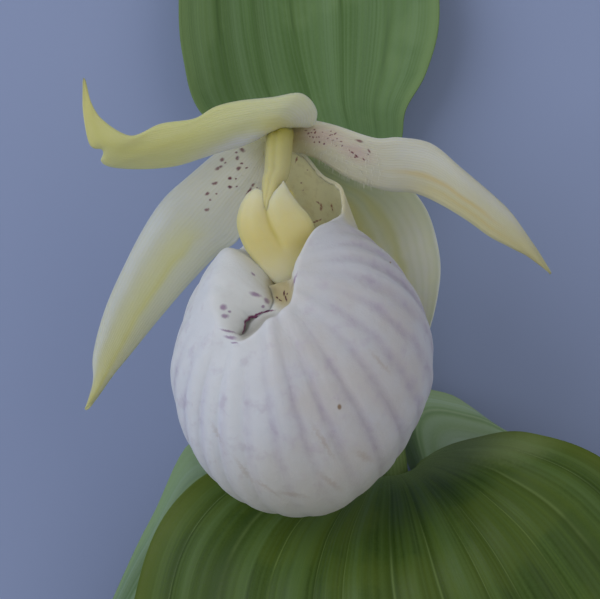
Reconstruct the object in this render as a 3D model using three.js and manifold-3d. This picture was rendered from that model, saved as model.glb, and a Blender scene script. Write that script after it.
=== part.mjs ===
// A slipper orchid (Cypripedium): one cut flowering shoot, lying on its back.
//
// Frame: millimetres, +Z up. The surface that the shoot lies on is z = 0. The stem runs along +Y
// from its cut end, and the flower faces +Z. The guide points below are written from a point in
// the pouch, and ORIGIN moves the whole shoot so that the frame's own origin is under its middle.
//
// Every leaf, sepal and petal is a thin blade between two margins and a midrib: each cross-section
// is the circular arc through the three, so the same rule wraps a sheath round the stem and
// spreads a flat blade. The pouch is a shell between its pole and the rim of its mouth.

import * as THREE from 'three';
import { mergeVertices } from 'three/addons/utils/BufferGeometryUtils.js';
import Module from 'manifold-3d';

const wasm = await Module();
wasm.setup();

// ---------------------------------------------------------------------- driving dimensions
const ORIGIN = [26.6, -9.6, 0];
const LEAF_THICKNESS = 0.9;
const PETAL_THICKNESS = 0.8;
const POUCH_THICKNESS = 0.9;
const STEM_RADIUS = 2.15;
const CUT_RADIUS = 2.5;
const RIB_COUNT = 26;
const RIB_DEPTH = 0.3;

// ---------------------------------------------------------------------- stem and ovary
const STEM = [[24, -118, 4.2], [21.5, -90, 4.6], [19, -60, 4.9], [16.6, -30, 5.1], [12.3, -6, 5.3], [9, 13.6, 5.2]];
const OVARY = [[8.7, 15.2, 5.5], [8.3, 19, 9], [6.5, 23.2, 16], [3.2, 26, 24], [-0.6, 27.2, 31], [-3, 27, 36.6]];
const RECEPTACLE = [-3, 27, 36.5];
const RECEPTACLE_RADIUS = 2.9;

// ---------------------------------------------------------------------- leaves and bract
// Each list runs from the base of the sheath to the tip.
const LEAF_FRONT = {
  left: [[17.3, -58, 2.1], [16.1, -44, 2.2], [13.8, -31.5, 3], [7.5, -28, 11], [-4, -26.5, 22], [-15, -29.5, 28],
    [-28.5, -50, 31], [-30, -76, 29.5], [-19, -101, 22], [3, -122, 12], [28, -134, 4.5], [41.4, -137, 0.6]],
  mid: [[18.9, -58, 8.3], [17.8, -44, 8.4], [16.7, -33, 9], [16.2, -30.5, 15], [17, -32.5, 27], [18, -39, 38],
    [20, -50, 44.5], [26, -70, 45], [32, -92, 38], [37.5, -112, 24], [41, -128, 8.5], [42, -137.3, 0.6]],
  right: [[20.6, -58, 2.1], [19.5, -44, 2.2], [19.6, -31.5, 3], [22.6, -26.8, 12], [29, -23.2, 27], [38, -22, 35],
    [52, -28, 36], [68, -47, 32], [72, -73, 25], [66, -99, 14], [54, -122, 5], [42.6, -137, 0.6]],
};
const LEAF_RIGHT = {
  left: [[18.3, -86, 6.4], [17.6, -76, 6.5], [18.3, -68, 8.2], [25, -58, 7.5], [24.3, -42, 4.2], [15, -18, 1.3],
    [25, -16.5, 4], [36, -23.2, 6], [58, -32, 7], [80, -43, 6.5], [98, -58, 4], [113.2, -78.6, 0.4]],
  mid: [[24.5, -86, 4.7], [23.8, -76, 4.8], [23.3, -68, 5], [28, -60, 6], [33, -50, 8.5], [38, -44, 10.5],
    [46, -43.5, 12], [58, -46, 12.3], [74, -52.5, 10.5], [90, -61, 6], [104, -71, 2], [113.4, -79, 0.4]],
  right: [[18.3, -86, 3.1], [17.6, -76, 3.1], [17.9, -68, 1.9], [26, -66, 2.2], [35, -69, 2], [43, -71, 2],
    [52, -73, 1.5], [64, -76, 0], [77, -79, -1], [90, -81, -1.5], [102, -81, -1], [113, -79.4, 0.4]],
};
const LEAF_LEFT = {
  left: [[26.1, -108, 6], [25.2, -98, 6.2], [23.9, -88.5, 8.4], [17, -74, 13.5], [4, -46, 17], [-15.5, -23.5, 18],
    [-26, -38, 16], [-36, -60, 12], [-47, -82, 7], [-57, -106, 3], [-60.3, -126, 0.4]],
  mid: [[19.9, -108, 4.3], [19, -98, 4.5], [17.8, -88, 5], [12.5, -80, 8], [3, -73, 12], [-10, -67, 16],
    [-24, -74, 15.5], [-36, -88, 11], [-47, -104, 5.5], [-56, -118, 1.5], [-60.1, -126.5, 0.4]],
  right: [[26.1, -108, 2.7], [25.2, -98, 2.9], [23.6, -88.4, 1.7], [15.5, -87, 2.4], [4, -89, 2.5], [-6, -93, 1.5],
    [-16, -101, -0.5], [-27, -111, -1.5], [-39, -120, -1.5], [-52, -126, -0.5], [-59.7, -127, 0.4]],
};
const BRACT = {
  left: [[5.6, 13, 6], [3.5, 18.5, 6.5], [-7.5, 25, 7.5], [-17.3, 32.6, 9], [-20.2, 42, 9.5], [-21.1, 52.5, 9],
    [-20.5, 65, 7], [-18.5, 79, 4], [-15.5, 93, 1], [-12.5, 106, 0], [-9.1, 118, 0.4]],
  mid: [[8.7, 12.6, 1.9], [7, 19.5, 1.3], [4.5, 27, 1.4], [1.8, 35, 2], [-0.6, 44, 2.4], [-2.2, 55, 2.4],
    [-3.5, 68, 1.6], [-4.8, 82, 0.2], [-6, 96, -1], [-7.3, 108, -0.8], [-8.5, 118.4, 0.4]],
  right: [[11.8, 13, 6], [13.2, 19, 6.5], [17.4, 27, 8], [18.4, 33, 9], [22, 39.5, 9.5], [24, 49, 10],
    [22.5, 63, 8], [16.5, 79, 4.5], [8.5, 94, 1], [0, 107, 0], [-7.9, 118, 0.4]],
};

// ---------------------------------------------------------------------- sepals and petals
const DORSAL_SEPAL = {
  left: [[-5.2, 28.9, 39.7], [-5.8, 27.4, 41.2], [-7.4, 26, 42.6], [-9.5, 25, 43.6], [-12, 24.3, 44], [-15.5, 23, 45],
    [-20, 21.6, 46], [-25.5, 21, 47], [-30, 21, 49], [-31.7, 22.5, 50.6], [-33.2, 24.8, 52.3], [-34.1, 29, 52.8],
    [-34.7, 34.3, 51]],
  mid: [[-2.9, 29.9, 39.9], [-1.7, 29.4, 43.2], [-1.5, 29.7, 46], [-3.6, 29.6, 48.5], [-8, 28.9, 49.2],
    [-12.5, 27.6, 49.8], [-16.8, 26.4, 50.2], [-21, 25.1, 50.6], [-26, 24.6, 51.6], [-29.4, 24.8, 52.8],
    [-31.8, 26.9, 53.5], [-33.5, 30.3, 53.2], [-34.5, 34.5, 51]],
  right: [[-0.6, 29.5, 39.7], [2.3, 29.3, 42], [2.5, 31.5, 45], [0.2, 33, 47.8], [-4.5, 32.4, 49], [-9.5, 31.8, 49.6],
    [-13.5, 30.7, 50], [-16.8, 28.8, 50.4], [-22.2, 28, 51], [-27.3, 26.7, 52.2], [-30.3, 28.6, 53], [-32.7, 31.6, 52.6],
    [-34.2, 34.7, 51]],
};
const PETAL_LEFT = {
  left: [[-6.3, 28.1, 38.6], [-10, 26, 39], [-14.2, 23.6, 39], [-18.2, 20.3, 38.5], [-22.4, 16.4, 38],
    [-25.8, 11.3, 38.5], [-28.8, 5, 39.7], [-31.6, -2, 41.6], [-33.4, -9, 43.6], [-33.2, -13.8, 44.6],
    [-34.8, -17.2, 45]],
  right: [[-6.1, 24.9, 38.6], [-6.1, 20.8, 39.8], [-7, 17, 40.2], [-8.4, 13, 40], [-10.4, 9.4, 40], [-13.4, 7.3, 40],
    [-18.4, 2.1, 40.4], [-23.1, -3.5, 41.4], [-28, -9.8, 42.8], [-31.9, -14.7, 44.4], [-34.2, -17.7, 45]],
};
const PETAL_RIGHT = {
  left: [[-0.2, 28.2, 38.9], [3, 28.2, 41], [6.5, 27.6, 43.5], [12, 26, 46], [16, 26, 47], [21, 25, 47],
    [25.5, 21.5, 47], [30.5, 17.5, 46], [34, 14, 45], [37.5, 9, 43.5], [40.7, 4.8, 42]],
  right: [[-0.3, 25, 38.9], [3.6, 22.8, 40.6], [8, 19.7, 42], [14, 17.5, 43], [18.5, 17, 44], [22.5, 15.4, 45.5],
    [26.5, 13, 46], [30.5, 10.2, 45.5], [34, 8.5, 44.5], [37.3, 6.6, 43.3], [40.2, 4.2, 42]],
};
const SYNSEPAL = {
  left: [[-5.6, 23.6, 33.6], [-5, 18.5, 31], [-4, 12, 28], [-2.5, 5, 25.6], [0.5, -1.5, 24.4], [5, -7.5, 24.2],
    [9.5, -11.8, 25.4], [13.5, -14, 27], [16, -15.2, 28.8]],
  mid: [[-2.5, 24, 33.2], [1.5, 19.5, 30.8], [6, 14.5, 28.4], [8.5, 8, 26.4], [10.5, 2, 25.6], [12.5, -4.5, 25.6],
    [14, -9.5, 26.2], [15.6, -12.6, 28], [16.4, -14.9, 29]],
  right: [[0.6, 24, 33.8], [8, 21.5, 33.6], [16.5, 19.5, 33], [21, 15, 33], [23, 7.5, 33], [22.8, 1, 32.2],
    [21, -6, 31], [18.2, -11.5, 30], [16.9, -14.5, 29.3]],
};
const PETAL_RISE = 0.9;

// ---------------------------------------------------------------------- column
const COLUMN = [[-3, 26.4, 39.9], [-3, 25, 43], [-3.4, 21.6, 46.6], [-4.2, 18, 48.5], [-4.8, 15.6, 48.6]];
const COLUMN_RADII = [1.9, 2.2, 2.1, 1.7, 1.1];
const STIGMA = { centre: [-4.4, 14.6, 47], radii: [2.5, 3.4, 1.1] };
const ANTHERS = { left: [-7.2, 17, 48.4], right: [-1.1, 17.3, 48.6] };
const ANTHER_RADII = [1.1, 1.6, 1.1];
const STAMINODE = {
  left: [[-6.3, 18.7, 52.2], [-8.3, 17.1, 52.5], [-9.7, 14.3, 52.2], [-10.3, 11.5, 51.8], [-9.6, 8.6, 51.4],
    [-7.6, 5.6, 51], [-5.2, 3.4, 50.8], [-3.2, 2, 50.7]],
  mid: [[-5.4, 17.6, 51.4], [-5.7, 15.4, 51.2], [-5.5, 13.3, 50.9], [-4.4, 11, 50.6], [-3, 9, 50.4],
    [-1.4, 7.4, 50.3], [-1, 5, 50.3], [-2, 2, 50.6]],
  right: [[-2.7, 19.2, 53.3], [-1.2, 17.4, 53.1], [0.8, 15, 52.7], [2.1, 13, 52.1], [2.6, 11, 51.6], [2.2, 8.8, 51.2],
    [1, 5.6, 50.8], [-1.2, 2.3, 50.6]],
};

// ---------------------------------------------------------------------- pouch
// An egg whose mouth opens up and forward. RIM is the crest of the mouth, once round from the top
// of the right lobe, and FOLD is where the margin that turns in from each of its points ends.
const POUCH_CENTRE = [0.4, -10.4, 46];
const POUCH_RADII = [20.7, 24.2, 18];
const MOUTH_AXIS = [-0.285, 0.595, 0.751];
const RIM = [[5, 13, 50], [2.5, 11, 54], [0, 8, 57.5], [-1.5, 4, 60], [-2.5, -0.5, 61.5], [-6, -4, 62], [-8.9, -6.6, 61],
  [-12, -5.5, 60], [-14.5, -0.5, 57], [-14, 4.5, 53], [-12, 8, 49], [-9, 8.5, 45], [-7, 13, 41.4], [-5, 19.5, 38.6],
  [-3, 23.2, 37.4], [1, 22.6, 38.2], [5, 20, 40.8], [7.2, 17.4, 43.4], [6.8, 14.6, 46]];
const FOLD = [[5.6, 11.5, 47.5], [4.8, 9, 50.5], [3.6, 6, 53], [2.2, 2, 55.8], [0.8, -3, 58], [-3.6, -5.6, 58.6],
  [-8.3, -7, 58.4], [-8.9, -5.2, 57.4], [-7.6, -2.8, 56.2], [-4.6, -2, 53.4], [-3.6, -1, 50.6], [-6.2, 3.6, 47],
  [-6.3, 12.6, 41.2], [-4.6, 19, 38.8], [-3, 22.4, 37.9], [0.7, 22, 38.7], [4.4, 19.5, 41.2], [6.4, 16.9, 43.7], [6.2, 14, 46]];
const RIM_REACH = 5;
// Where the egg is fuller or flatter than a true one: the direction in the unit egg, how much, and
// how far round that reaches (the cosine where it begins).
const SWELLS = [
  { towards: [-0.758, 0.652, 0], amount: -0.075, from: 0.7 },
  { towards: [0.62, 0.78, 0], amount: -0.03, from: 0.75 },
  { towards: [0.743, -0.669, 0], amount: -0.05, from: 0.8 },
  { towards: [-0.7, -0.71, 0], amount: 0.012, from: 0.8 },
];
const COLUMN_STEP = 10;

// ---------------------------------------------------------------------- shared geometry
const vec = (point) => new THREE.Vector3(...point);
const spline = (points, closed = false) => new THREE.CatmullRomCurve3(points.map(vec), closed, 'catmullrom', 0.5);

// The point at u (-1 to 1) on the circular arc from `left` through `mid` to `right`.
function arcPoint(left, mid, right, u) {
  const toLeft = left.clone().sub(mid);
  const toRight = right.clone().sub(mid);
  const axis = toLeft.clone().cross(toRight);
  if (axis.length() < 1e-3 * toLeft.length() * toRight.length() + 1e-9) {
    return mid.clone().addScaledVector(u < 0 ? toLeft : toRight, Math.abs(u));
  }
  const toCentre = toRight.clone().multiplyScalar(toLeft.lengthSq())
    .sub(toLeft.clone().multiplyScalar(toRight.lengthSq()))
    .cross(axis).divideScalar(2 * axis.lengthSq());
  const chord = toRight.clone().sub(toLeft);
  const sweep = u < 0 ? 2 * toRight.angleTo(chord) : 2 * toLeft.clone().negate().angleTo(chord);
  return toCentre.clone().negate().applyAxisAngle(axis.normalize(), -u * sweep).add(mid).add(toCentre);
}

// Keeps a blade's middle at or above half its thickness, so what lies on the surface lies flat.
function layOn(height, z) {
  const soft = 0.6;
  if (z <= height - soft) return height;
  if (z >= height + soft) return z;
  return height + (z - height + soft) ** 2 / (4 * soft);
}

// A solid sheet over a grid of points: rows of equal length, closed round in u when `ring` is set,
// with all of row 0 at one point when `pole` is set. Both faces are split along the same diagonals.
function sheetSolid(rows, thickness, { ring = false, pole = false } = {}) {
  const count = rows[0].length;
  const last = rows.length - 1;
  const wrap = (i) => (ring ? (i + count) % count : THREE.MathUtils.clamp(i, 0, count - 1));
  const at = (j, i) => rows[THREE.MathUtils.clamp(j, 0, last)][wrap(i)];
  const normalAt = (j, i) => {
    const across = at(j, i + 1).clone().sub(at(j, i - 1));
    const along = at(j + 1, i).clone().sub(at(j - 1, i));
    return across.cross(along).normalize();
  };
  const poleNormal = new THREE.Vector3();
  if (pole) {
    for (let i = 0; i < count; i += 1) poleNormal.add(normalAt(1, i));
    poleNormal.normalize();
  }
  const positions = [];
  const faces = [];
  const put = (side) => rows.map((row, j) => row.map((point, i) => {
    const normal = pole && j === 0 ? poleNormal : normalAt(j, i);
    const vertex = point.clone().addScaledVector(normal, side * thickness / 2);
    positions.push(vertex.x, vertex.y, vertex.z);
    return positions.length / 3 - 1;
  }));
  const front = put(1);
  const back = put(-1);
  const spans = ring ? count : count - 1;
  const face = (a, b, c) => faces.push(a, b, c);
  for (let j = 0; j < last; j += 1) {
    for (let i = 0; i < spans; i += 1) {
      const k = wrap(i + 1);
      if (!(pole && j === 0)) {
        face(front[j][i], front[j][k], front[j + 1][k]);
        face(back[j][i], back[j + 1][k], back[j][k]);
      }
      face(front[j][i], front[j + 1][k], front[j + 1][i]);
      face(back[j][i], back[j + 1][i], back[j + 1][k]);
    }
  }
  const rim = (a, b, c, d) => {
    face(a, b, c);
    face(a, c, d);
  };
  for (let i = 0; i < spans; i += 1) {
    const k = wrap(i + 1);
    rim(front[last][i], front[last][k], back[last][k], back[last][i]);
    if (!pole) rim(front[0][k], front[0][i], back[0][i], back[0][k]);
  }
  if (!ring) {
    for (let j = 0; j < last; j += 1) {
      rim(front[j][0], front[j + 1][0], back[j + 1][0], back[j][0]);
      rim(front[j + 1][count - 1], front[j][count - 1], back[j][count - 1], back[j + 1][count - 1]);
    }
  }
  return closedGeometry(positions, faces);
}

// Merges what coincides and turns the faces out.
function closedGeometry(positions, faces) {
  const raw = new THREE.BufferGeometry();
  raw.setAttribute('position', new THREE.Float32BufferAttribute(positions, 3));
  raw.setIndex(faces);
  const merged = mergeVertices(raw, 1e-4);
  const index = merged.index.array;
  const place = merged.attributes.position;
  const kept = [];
  let volume = 0;
  const a = new THREE.Vector3();
  const b = new THREE.Vector3();
  const c = new THREE.Vector3();
  for (let f = 0; f < index.length; f += 3) {
    const [i, j, k] = [index[f], index[f + 1], index[f + 2]];
    if (i === j || j === k || k === i) continue;
    kept.push(i, j, k);
    volume += a.fromBufferAttribute(place, i).dot(b.fromBufferAttribute(place, j).cross(c.fromBufferAttribute(place, k)));
  }
  if (volume < 0) {
    for (let f = 0; f < kept.length; f += 3) [kept[f + 1], kept[f + 2]] = [kept[f + 2], kept[f + 1]];
  }
  merged.setIndex(kept);
  return merged;
}

// A blade from its three guides. `relief` gives the height of pleats and waves at (u, v), and
// `floor` lays it on the surface.
function blade(guides, { columns, rows, thickness, relief = () => 0, floor = false }) {
  const left = spline(guides.left);
  const mid = spline(guides.mid);
  const right = spline(guides.right);
  const plain = [];
  for (let j = 0; j <= rows; j += 1) {
    const v = j / rows;
    const [l, m, r] = [left.getPoint(v), mid.getPoint(v), right.getPoint(v)];
    plain.push(Array.from({ length: columns + 1 }, (_, i) => arcPoint(l, m, r, 2 * i / columns - 1)));
  }
  const shaped = plain.map((row, j) => row.map((point, i) => {
    const next = row[Math.min(i + 1, columns)];
    const before = row[Math.max(i - 1, 0)];
    const above = plain[Math.min(j + 1, rows)][i];
    const below = plain[Math.max(j - 1, 0)][i];
    const normal = next.clone().sub(before).cross(above.clone().sub(below)).normalize();
    const raised = point.clone().addScaledVector(normal, relief(2 * i / columns - 1, j / rows));
    if (floor) raised.z = layOn(thickness / 2, raised.z);
    return raised;
  }));
  return sheetSolid(shaped, thickness);
}

// The guides of a petal: its midrib stands `rise` above the middle between its margins.
function withArchedMid({ left, right }, rise) {
  const mid = left.map((point, i) => {
    const end = i === 0 || i === left.length - 1;
    return point.map((value, axis) => (value + right[i][axis]) / 2 + (axis === 2 && !end ? rise : 0));
  });
  return { left, mid, right };
}

// A solid rod along a path, with a radius for each point of the path and ribs round it.
function rod(points, radii, { sides = 12, steps = 12, ribs = 0, ribDepth = 0 } = {}) {
  const path = spline(points);
  const width = spline(radii.map((radius) => [radius, 0, 0]));
  const frames = path.computeFrenetFrames(steps, false);
  const rings = [];
  for (let j = 0; j <= steps; j += 1) {
    const centre = path.getPointAt(j / steps);
    const radius = width.getPoint(path.getUtoTmapping(j / steps)).x;
    rings.push(Array.from({ length: sides }, (_, i) => {
      const angle = 2 * Math.PI * i / sides;
      const reach = radius * (1 + ribDepth * Math.cos(ribs * angle));
      return centre.clone().addScaledVector(frames.normals[j], reach * Math.cos(angle))
        .addScaledVector(frames.binormals[j], reach * Math.sin(angle));
    }));
  }
  const positions = [];
  const faces = [];
  for (const ring of rings) for (const point of ring) positions.push(point.x, point.y, point.z);
  for (let j = 0; j < steps; j += 1) {
    for (let i = 0; i < sides; i += 1) {
      const k = (i + 1) % sides;
      const [a, b, c, d] = [j * sides + i, j * sides + k, (j + 1) * sides + k, (j + 1) * sides + i];
      faces.push(a, b, c, a, c, d);
    }
  }
  for (const j of [0, steps]) {
    const centre = path.getPointAt(j / steps);
    positions.push(centre.x, centre.y, centre.z);
    const hub = positions.length / 3 - 1;
    for (let i = 0; i < sides; i += 1) {
      const k = (i + 1) % sides;
      if (j === 0) faces.push(hub, j * sides + k, j * sides + i);
      else faces.push(hub, j * sides + i, j * sides + k);
    }
  }
  return closedGeometry(positions, faces);
}

function ellipsoid(centre, radii, across = 12, down = 8) {
  const ball = new THREE.SphereGeometry(1, across, down);
  ball.scale(...radii);
  ball.translate(...centre);
  ball.deleteAttribute('normal');
  ball.deleteAttribute('uv');
  return closedGeometry(Array.from(ball.attributes.position.array), Array.from(ball.index.array));
}

function toManifold(geometry) {
  return new wasm.Manifold(new wasm.Mesh({
    numProp: 3,
    vertProperties: Float32Array.from(geometry.attributes.position.array),
    triVerts: Uint32Array.from(geometry.index.array),
  }));
}

function fromManifold(solid) {
  const mesh = solid.getMesh();
  const geometry = new THREE.BufferGeometry();
  geometry.setAttribute('position', new THREE.BufferAttribute(mesh.vertProperties, 3));
  geometry.setIndex(new THREE.BufferAttribute(mesh.triVerts, 1));
  return geometry;
}

const joined = (...geometries) => fromManifold(geometries.map(toManifold).reduce((whole, next) => whole.add(next)));

// ---------------------------------------------------------------------- the pouch
// The parameters round the rim at which the pouch has a column of points, close to COLUMN_STEP
// degrees apart about the mouth's axis.
function mouthFrame() {
  const out = vec(MOUTH_AXIS).normalize();
  const side = out.clone().cross(new THREE.Vector3(0, 0, 1)).normalize();
  return { out, side, up: out.clone().cross(side) };
}

function toUnit(point) {
  return point.clone().sub(vec(POUCH_CENTRE)).divide(vec(POUCH_RADII));
}

function rimColumns() {
  const { side, up } = mouthFrame();
  const azimuth = RIM.map((point) => {
    const unit = toUnit(vec(point));
    return THREE.MathUtils.radToDeg(Math.atan2(unit.dot(up), unit.dot(side)));
  });
  const columns = [];
  RIM.forEach((_, i) => {
    const turn = (azimuth[i] - azimuth[(i + 1) % RIM.length] + 720) % 360;
    const pieces = Math.max(1, Math.round(turn / COLUMN_STEP));
    for (let k = 0; k < pieces; k += 1) {
      columns.push({ t: (i + k / pieces) / RIM.length, azimuth: azimuth[i] - turn * k / pieces });
    }
  });
  return columns;
}

function pouch() {
  const rim = spline(RIM, true);
  const fold = spline(FOLD, true);
  const { out } = mouthFrame();
  const pole = out.clone().negate();
  const bodyRows = 13;
  const foldRows = 5;
  const columns = rimColumns();
  const rows = Array.from({ length: bodyRows + foldRows + 1 }, () => []);
  for (const column of columns) {
    const edge = rim.getPoint(column.t);
    const end = fold.getPoint(column.t);
    const unit = toUnit(edge);
    const reach = unit.length() - 1;
    const toRim = unit.clone().normalize();
    const sweep = pole.angleTo(toRim);
    const bodyPoint = (s) => {
      const radius = 1 + reach * s ** RIM_REACH;
      const direction = pole.clone().multiplyScalar(Math.sin((1 - s) * sweep))
        .addScaledVector(toRim, Math.sin(s * sweep)).divideScalar(Math.sin(sweep));
      const rib = Math.cos(THREE.MathUtils.degToRad(column.azimuth) * RIB_COUNT) * Math.sin(Math.PI * s) ** 2;
      const radii = vec(POUCH_RADII).addScalar(RIB_DEPTH * rib);
      const swell = SWELLS.reduce((sum, { towards, amount, from }) => {
        const near = Math.max(0, (direction.dot(vec(towards)) - from) / (1 - from));
        return sum + amount * near * near * (3 - 2 * near) * (1 - s ** 8);
      }, 0);
      return direction.multiplyScalar(radius + swell).multiply(radii).add(vec(POUCH_CENTRE));
    };
    for (let j = 0; j <= bodyRows; j += 1) rows[j].push(bodyPoint(j / bodyRows));
    const lead = edge.clone().sub(bodyPoint(1 - 0.5 / bodyRows)).normalize();
    const turn = edge.clone().addScaledVector(lead, 0.35 * edge.distanceTo(end));
    const curl = new THREE.QuadraticBezierCurve3(edge, turn, end);
    for (let j = 1; j <= foldRows; j += 1) rows[bodyRows + j].push(curl.getPoint(j / foldRows));
  }
  return sheetSolid(rows, POUCH_THICKNESS, { ring: true, pole: true });
}

// ---------------------------------------------------------------------- surface relief
const fade = (v, start, end) => THREE.MathUtils.smoothstep(v, start, end);
const pleats = (count, depth) => (u, v) => (
  depth * Math.cos(Math.PI * count * (u + 1)) * fade(v, 0.22, 0.4) * (1 - fade(v, 0.72, 0.98)) * (1 - u ** 6));

// ---------------------------------------------------------------------- materials
const plant = (colour, roughness) => new THREE.MeshStandardMaterial({ color: colour, roughness, metalness: 0 });
const LEAF_GREEN = plant('#4f6b35', 0.55);
const STEM_GREEN = plant('#6f8a4a', 0.55);
const SEPAL_CREAM = plant('#cfcf96', 0.5);
const PETAL_CREAM = plant('#d9d9bd', 0.5);
const POUCH_WHITE = plant('#dcdbe0', 0.45);
const COLUMN_YELLOW = plant('#d6cd78', 0.45);

// ---------------------------------------------------------------------- the shoot
const shoot = new THREE.Group();
shoot.position.set(-ORIGIN[0], -ORIGIN[1], -ORIGIN[2]);

function add(name, geometry, material) {
  const mesh = new THREE.Mesh(geometry, material);
  mesh.name = name;
  shoot.add(mesh);
}

add('stem', rod(STEM, [CUT_RADIUS, 2.4, 2.35, 2.3, 2.2, STEM_RADIUS], { sides: 12, steps: 14 }), STEM_GREEN);
add('ovary', joined(
  rod(OVARY, [2, 2.5, 2.8, 2.7, 2.4, 2], { sides: 12, steps: 10, ribs: 6, ribDepth: 0.06 }),
  ellipsoid(RECEPTACLE, [RECEPTACLE_RADIUS, RECEPTACLE_RADIUS, RECEPTACLE_RADIUS]),
), STEM_GREEN);

add('leaf_front', blade(LEAF_FRONT, {
  columns: 20, rows: 24, thickness: LEAF_THICKNESS, relief: pleats(10, 0.55), floor: true,
}), LEAF_GREEN);
add('leaf_right', blade(LEAF_RIGHT, {
  columns: 16, rows: 18, thickness: LEAF_THICKNESS, relief: pleats(8, 0.4), floor: true,
}), LEAF_GREEN);
add('leaf_left', blade(LEAF_LEFT, {
  columns: 16, rows: 20, thickness: LEAF_THICKNESS, relief: pleats(8, 0.4), floor: true,
}), LEAF_GREEN);
add('bract', blade(BRACT, {
  columns: 16, rows: 18, thickness: LEAF_THICKNESS, relief: pleats(8, 0.3), floor: true,
}), LEAF_GREEN);

add('dorsal_sepal', blade(DORSAL_SEPAL, { columns: 10, rows: 20, thickness: PETAL_THICKNESS }), SEPAL_CREAM);
add('synsepal', blade(SYNSEPAL, { columns: 10, rows: 14, thickness: PETAL_THICKNESS }), SEPAL_CREAM);
add('petal_left', blade(withArchedMid(PETAL_LEFT, PETAL_RISE), {
  columns: 10, rows: 18, thickness: PETAL_THICKNESS,
}), PETAL_CREAM);
add('petal_right', blade(withArchedMid(PETAL_RIGHT, PETAL_RISE), {
  columns: 10, rows: 18, thickness: PETAL_THICKNESS,
}), PETAL_CREAM);
add('lip', pouch(), POUCH_WHITE);

add('column', joined(
  rod(COLUMN, COLUMN_RADII, { sides: 10, steps: 8 }),
  ellipsoid(STIGMA.centre, STIGMA.radii, 12, 6),
), COLUMN_YELLOW);
add('staminode', blade(STAMINODE, {
  columns: 12, rows: 12, thickness: PETAL_THICKNESS,
  relief: (u) => 0.8 * Math.sin(Math.PI * Math.abs(u)),
}), COLUMN_YELLOW);
for (const side of ['left', 'right']) {
  add(`anther_${side}`, ellipsoid(ANTHERS[side], ANTHER_RADII, 8, 6), COLUMN_YELLOW);
}

export default shoot;
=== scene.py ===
# %% [markdown]
# # A slipper orchid, cut and laid on its back
#
# The plant is a Cypripedium: pleated leaves that sheathe a short stem, one leafy bract, and one
# flower whose third petal is blown up into a slipper, the lip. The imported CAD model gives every
# piece its place and size. Here each piece gets the fine form and the finish that a solid for
# physics leaves out: veins, pleats, spots, a rolled margin and hairs.
#
# Guide points are in millimetres, from the point of the table under the flower's middle: +X right,
# +Y up the stem, +Z out of the table. `in_frame` moves them to the model's frame, in metres.

# %% The frame
import functools
import math
import random
import types

import bpy
from mathutils import Matrix, Vector


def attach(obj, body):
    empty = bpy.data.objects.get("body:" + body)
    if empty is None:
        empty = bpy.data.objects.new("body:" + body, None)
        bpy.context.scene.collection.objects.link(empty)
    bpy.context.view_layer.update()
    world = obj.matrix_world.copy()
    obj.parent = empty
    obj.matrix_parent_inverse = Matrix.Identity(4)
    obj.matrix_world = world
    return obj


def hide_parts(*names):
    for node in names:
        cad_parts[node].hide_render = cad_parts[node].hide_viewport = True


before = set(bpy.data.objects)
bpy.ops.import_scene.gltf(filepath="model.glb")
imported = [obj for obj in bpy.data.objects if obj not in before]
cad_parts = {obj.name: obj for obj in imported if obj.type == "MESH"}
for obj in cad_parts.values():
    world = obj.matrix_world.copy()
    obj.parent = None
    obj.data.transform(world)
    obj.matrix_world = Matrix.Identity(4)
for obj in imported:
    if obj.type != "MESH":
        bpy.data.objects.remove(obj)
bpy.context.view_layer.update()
MM = 0.001
ORIGIN = Vector((26.6, -9.6, 0))
BODY = "root"


def in_frame(point):
    return (Vector(point) - ORIGIN) * MM


# %% [markdown]
# ## The camera
#
# The camera looks straight down on the flower from half a metre, through a long lens, which
# keeps the flower's proportions as the eye sees them from a distance. It could be aimed with a
# constraint, but a new camera looks down already, so its place is all it needs.

# %% Camera
CAMERA_HEIGHT = 498
FOCAL_LENGTH = 168.75
SENSOR_WIDTH = 36
NEAR_LIMIT = 0.01

bpy.ops.object.select_all(action="DESELECT")
bpy.ops.object.camera_add(location=in_frame((0, 0, CAMERA_HEIGHT)))
camera = bpy.context.object
camera.data.sensor_width = SENSOR_WIDTH
camera.data.lens = FOCAL_LENGTH
camera.data.clip_start = NEAR_LIMIT
bpy.context.scene.camera = camera
print("camera at", [round(c, 4) for c in camera.location])

# %% [markdown]
# ## Colours and nodes
#
# A surface is a small graph of nodes. By hand it would be drawn in the shader editor. Here one
# function adds a node, sets it and links it, so each line of code reads as one box of the graph.
# Colours are sRGB hex codes, as a paint program shows them, and are turned to the linear values
# that Blender mixes.


# %% Colours and nodes
def colour(code):
    """An sRGB hex colour as linear RGBA."""
    parts = [int(code[i:i + 2], 16) / 255 for i in (1, 3, 5)]
    return [c / 12.92 if c <= 0.04045 else ((c + 0.055) / 1.055) ** 2.4 for c in parts] + [1]


def add_node(tree, kind, settings=None, inputs=None, stops=None):
    """Adds a node. Each input is a value, a socket, or a node whose first live output is used."""
    made = tree.nodes.new(kind)
    for name, value in (settings or {}).items():
        setattr(made, name, value)
    for name, value in (inputs or {}).items():
        named = [s for s in made.inputs if s.name == name and s.enabled]
        socket = made.inputs[name] if isinstance(name, int) else named[0]
        if isinstance(value, bpy.types.Node):
            value = next(s for s in value.outputs if s.enabled)
        if isinstance(value, bpy.types.NodeSocket):
            tree.links.new(value, socket)
        else:
            socket.default_value = value
    for i, (position, code) in enumerate(stops or []):
        ramp = made.color_ramp
        element = ramp.elements[i] if i < 2 else ramp.elements.new(position)
        element.position = position
        element.color = colour(code)
    return made


print("middle grey in linear light:", round(colour("#808080")[0], 3))

# %% [markdown]
# ## Skins
#
# Living skin is built up as a painting is: a ground colour, and then thin coats, each with masks
# that say where it lies and how strong it is there. The masks could be wired one by one, but then
# the wiring hides the painting. So a skin starts with the places that its masks read, goes on with
# a list of coats, and ends with its fine relief and its shader.


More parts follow.
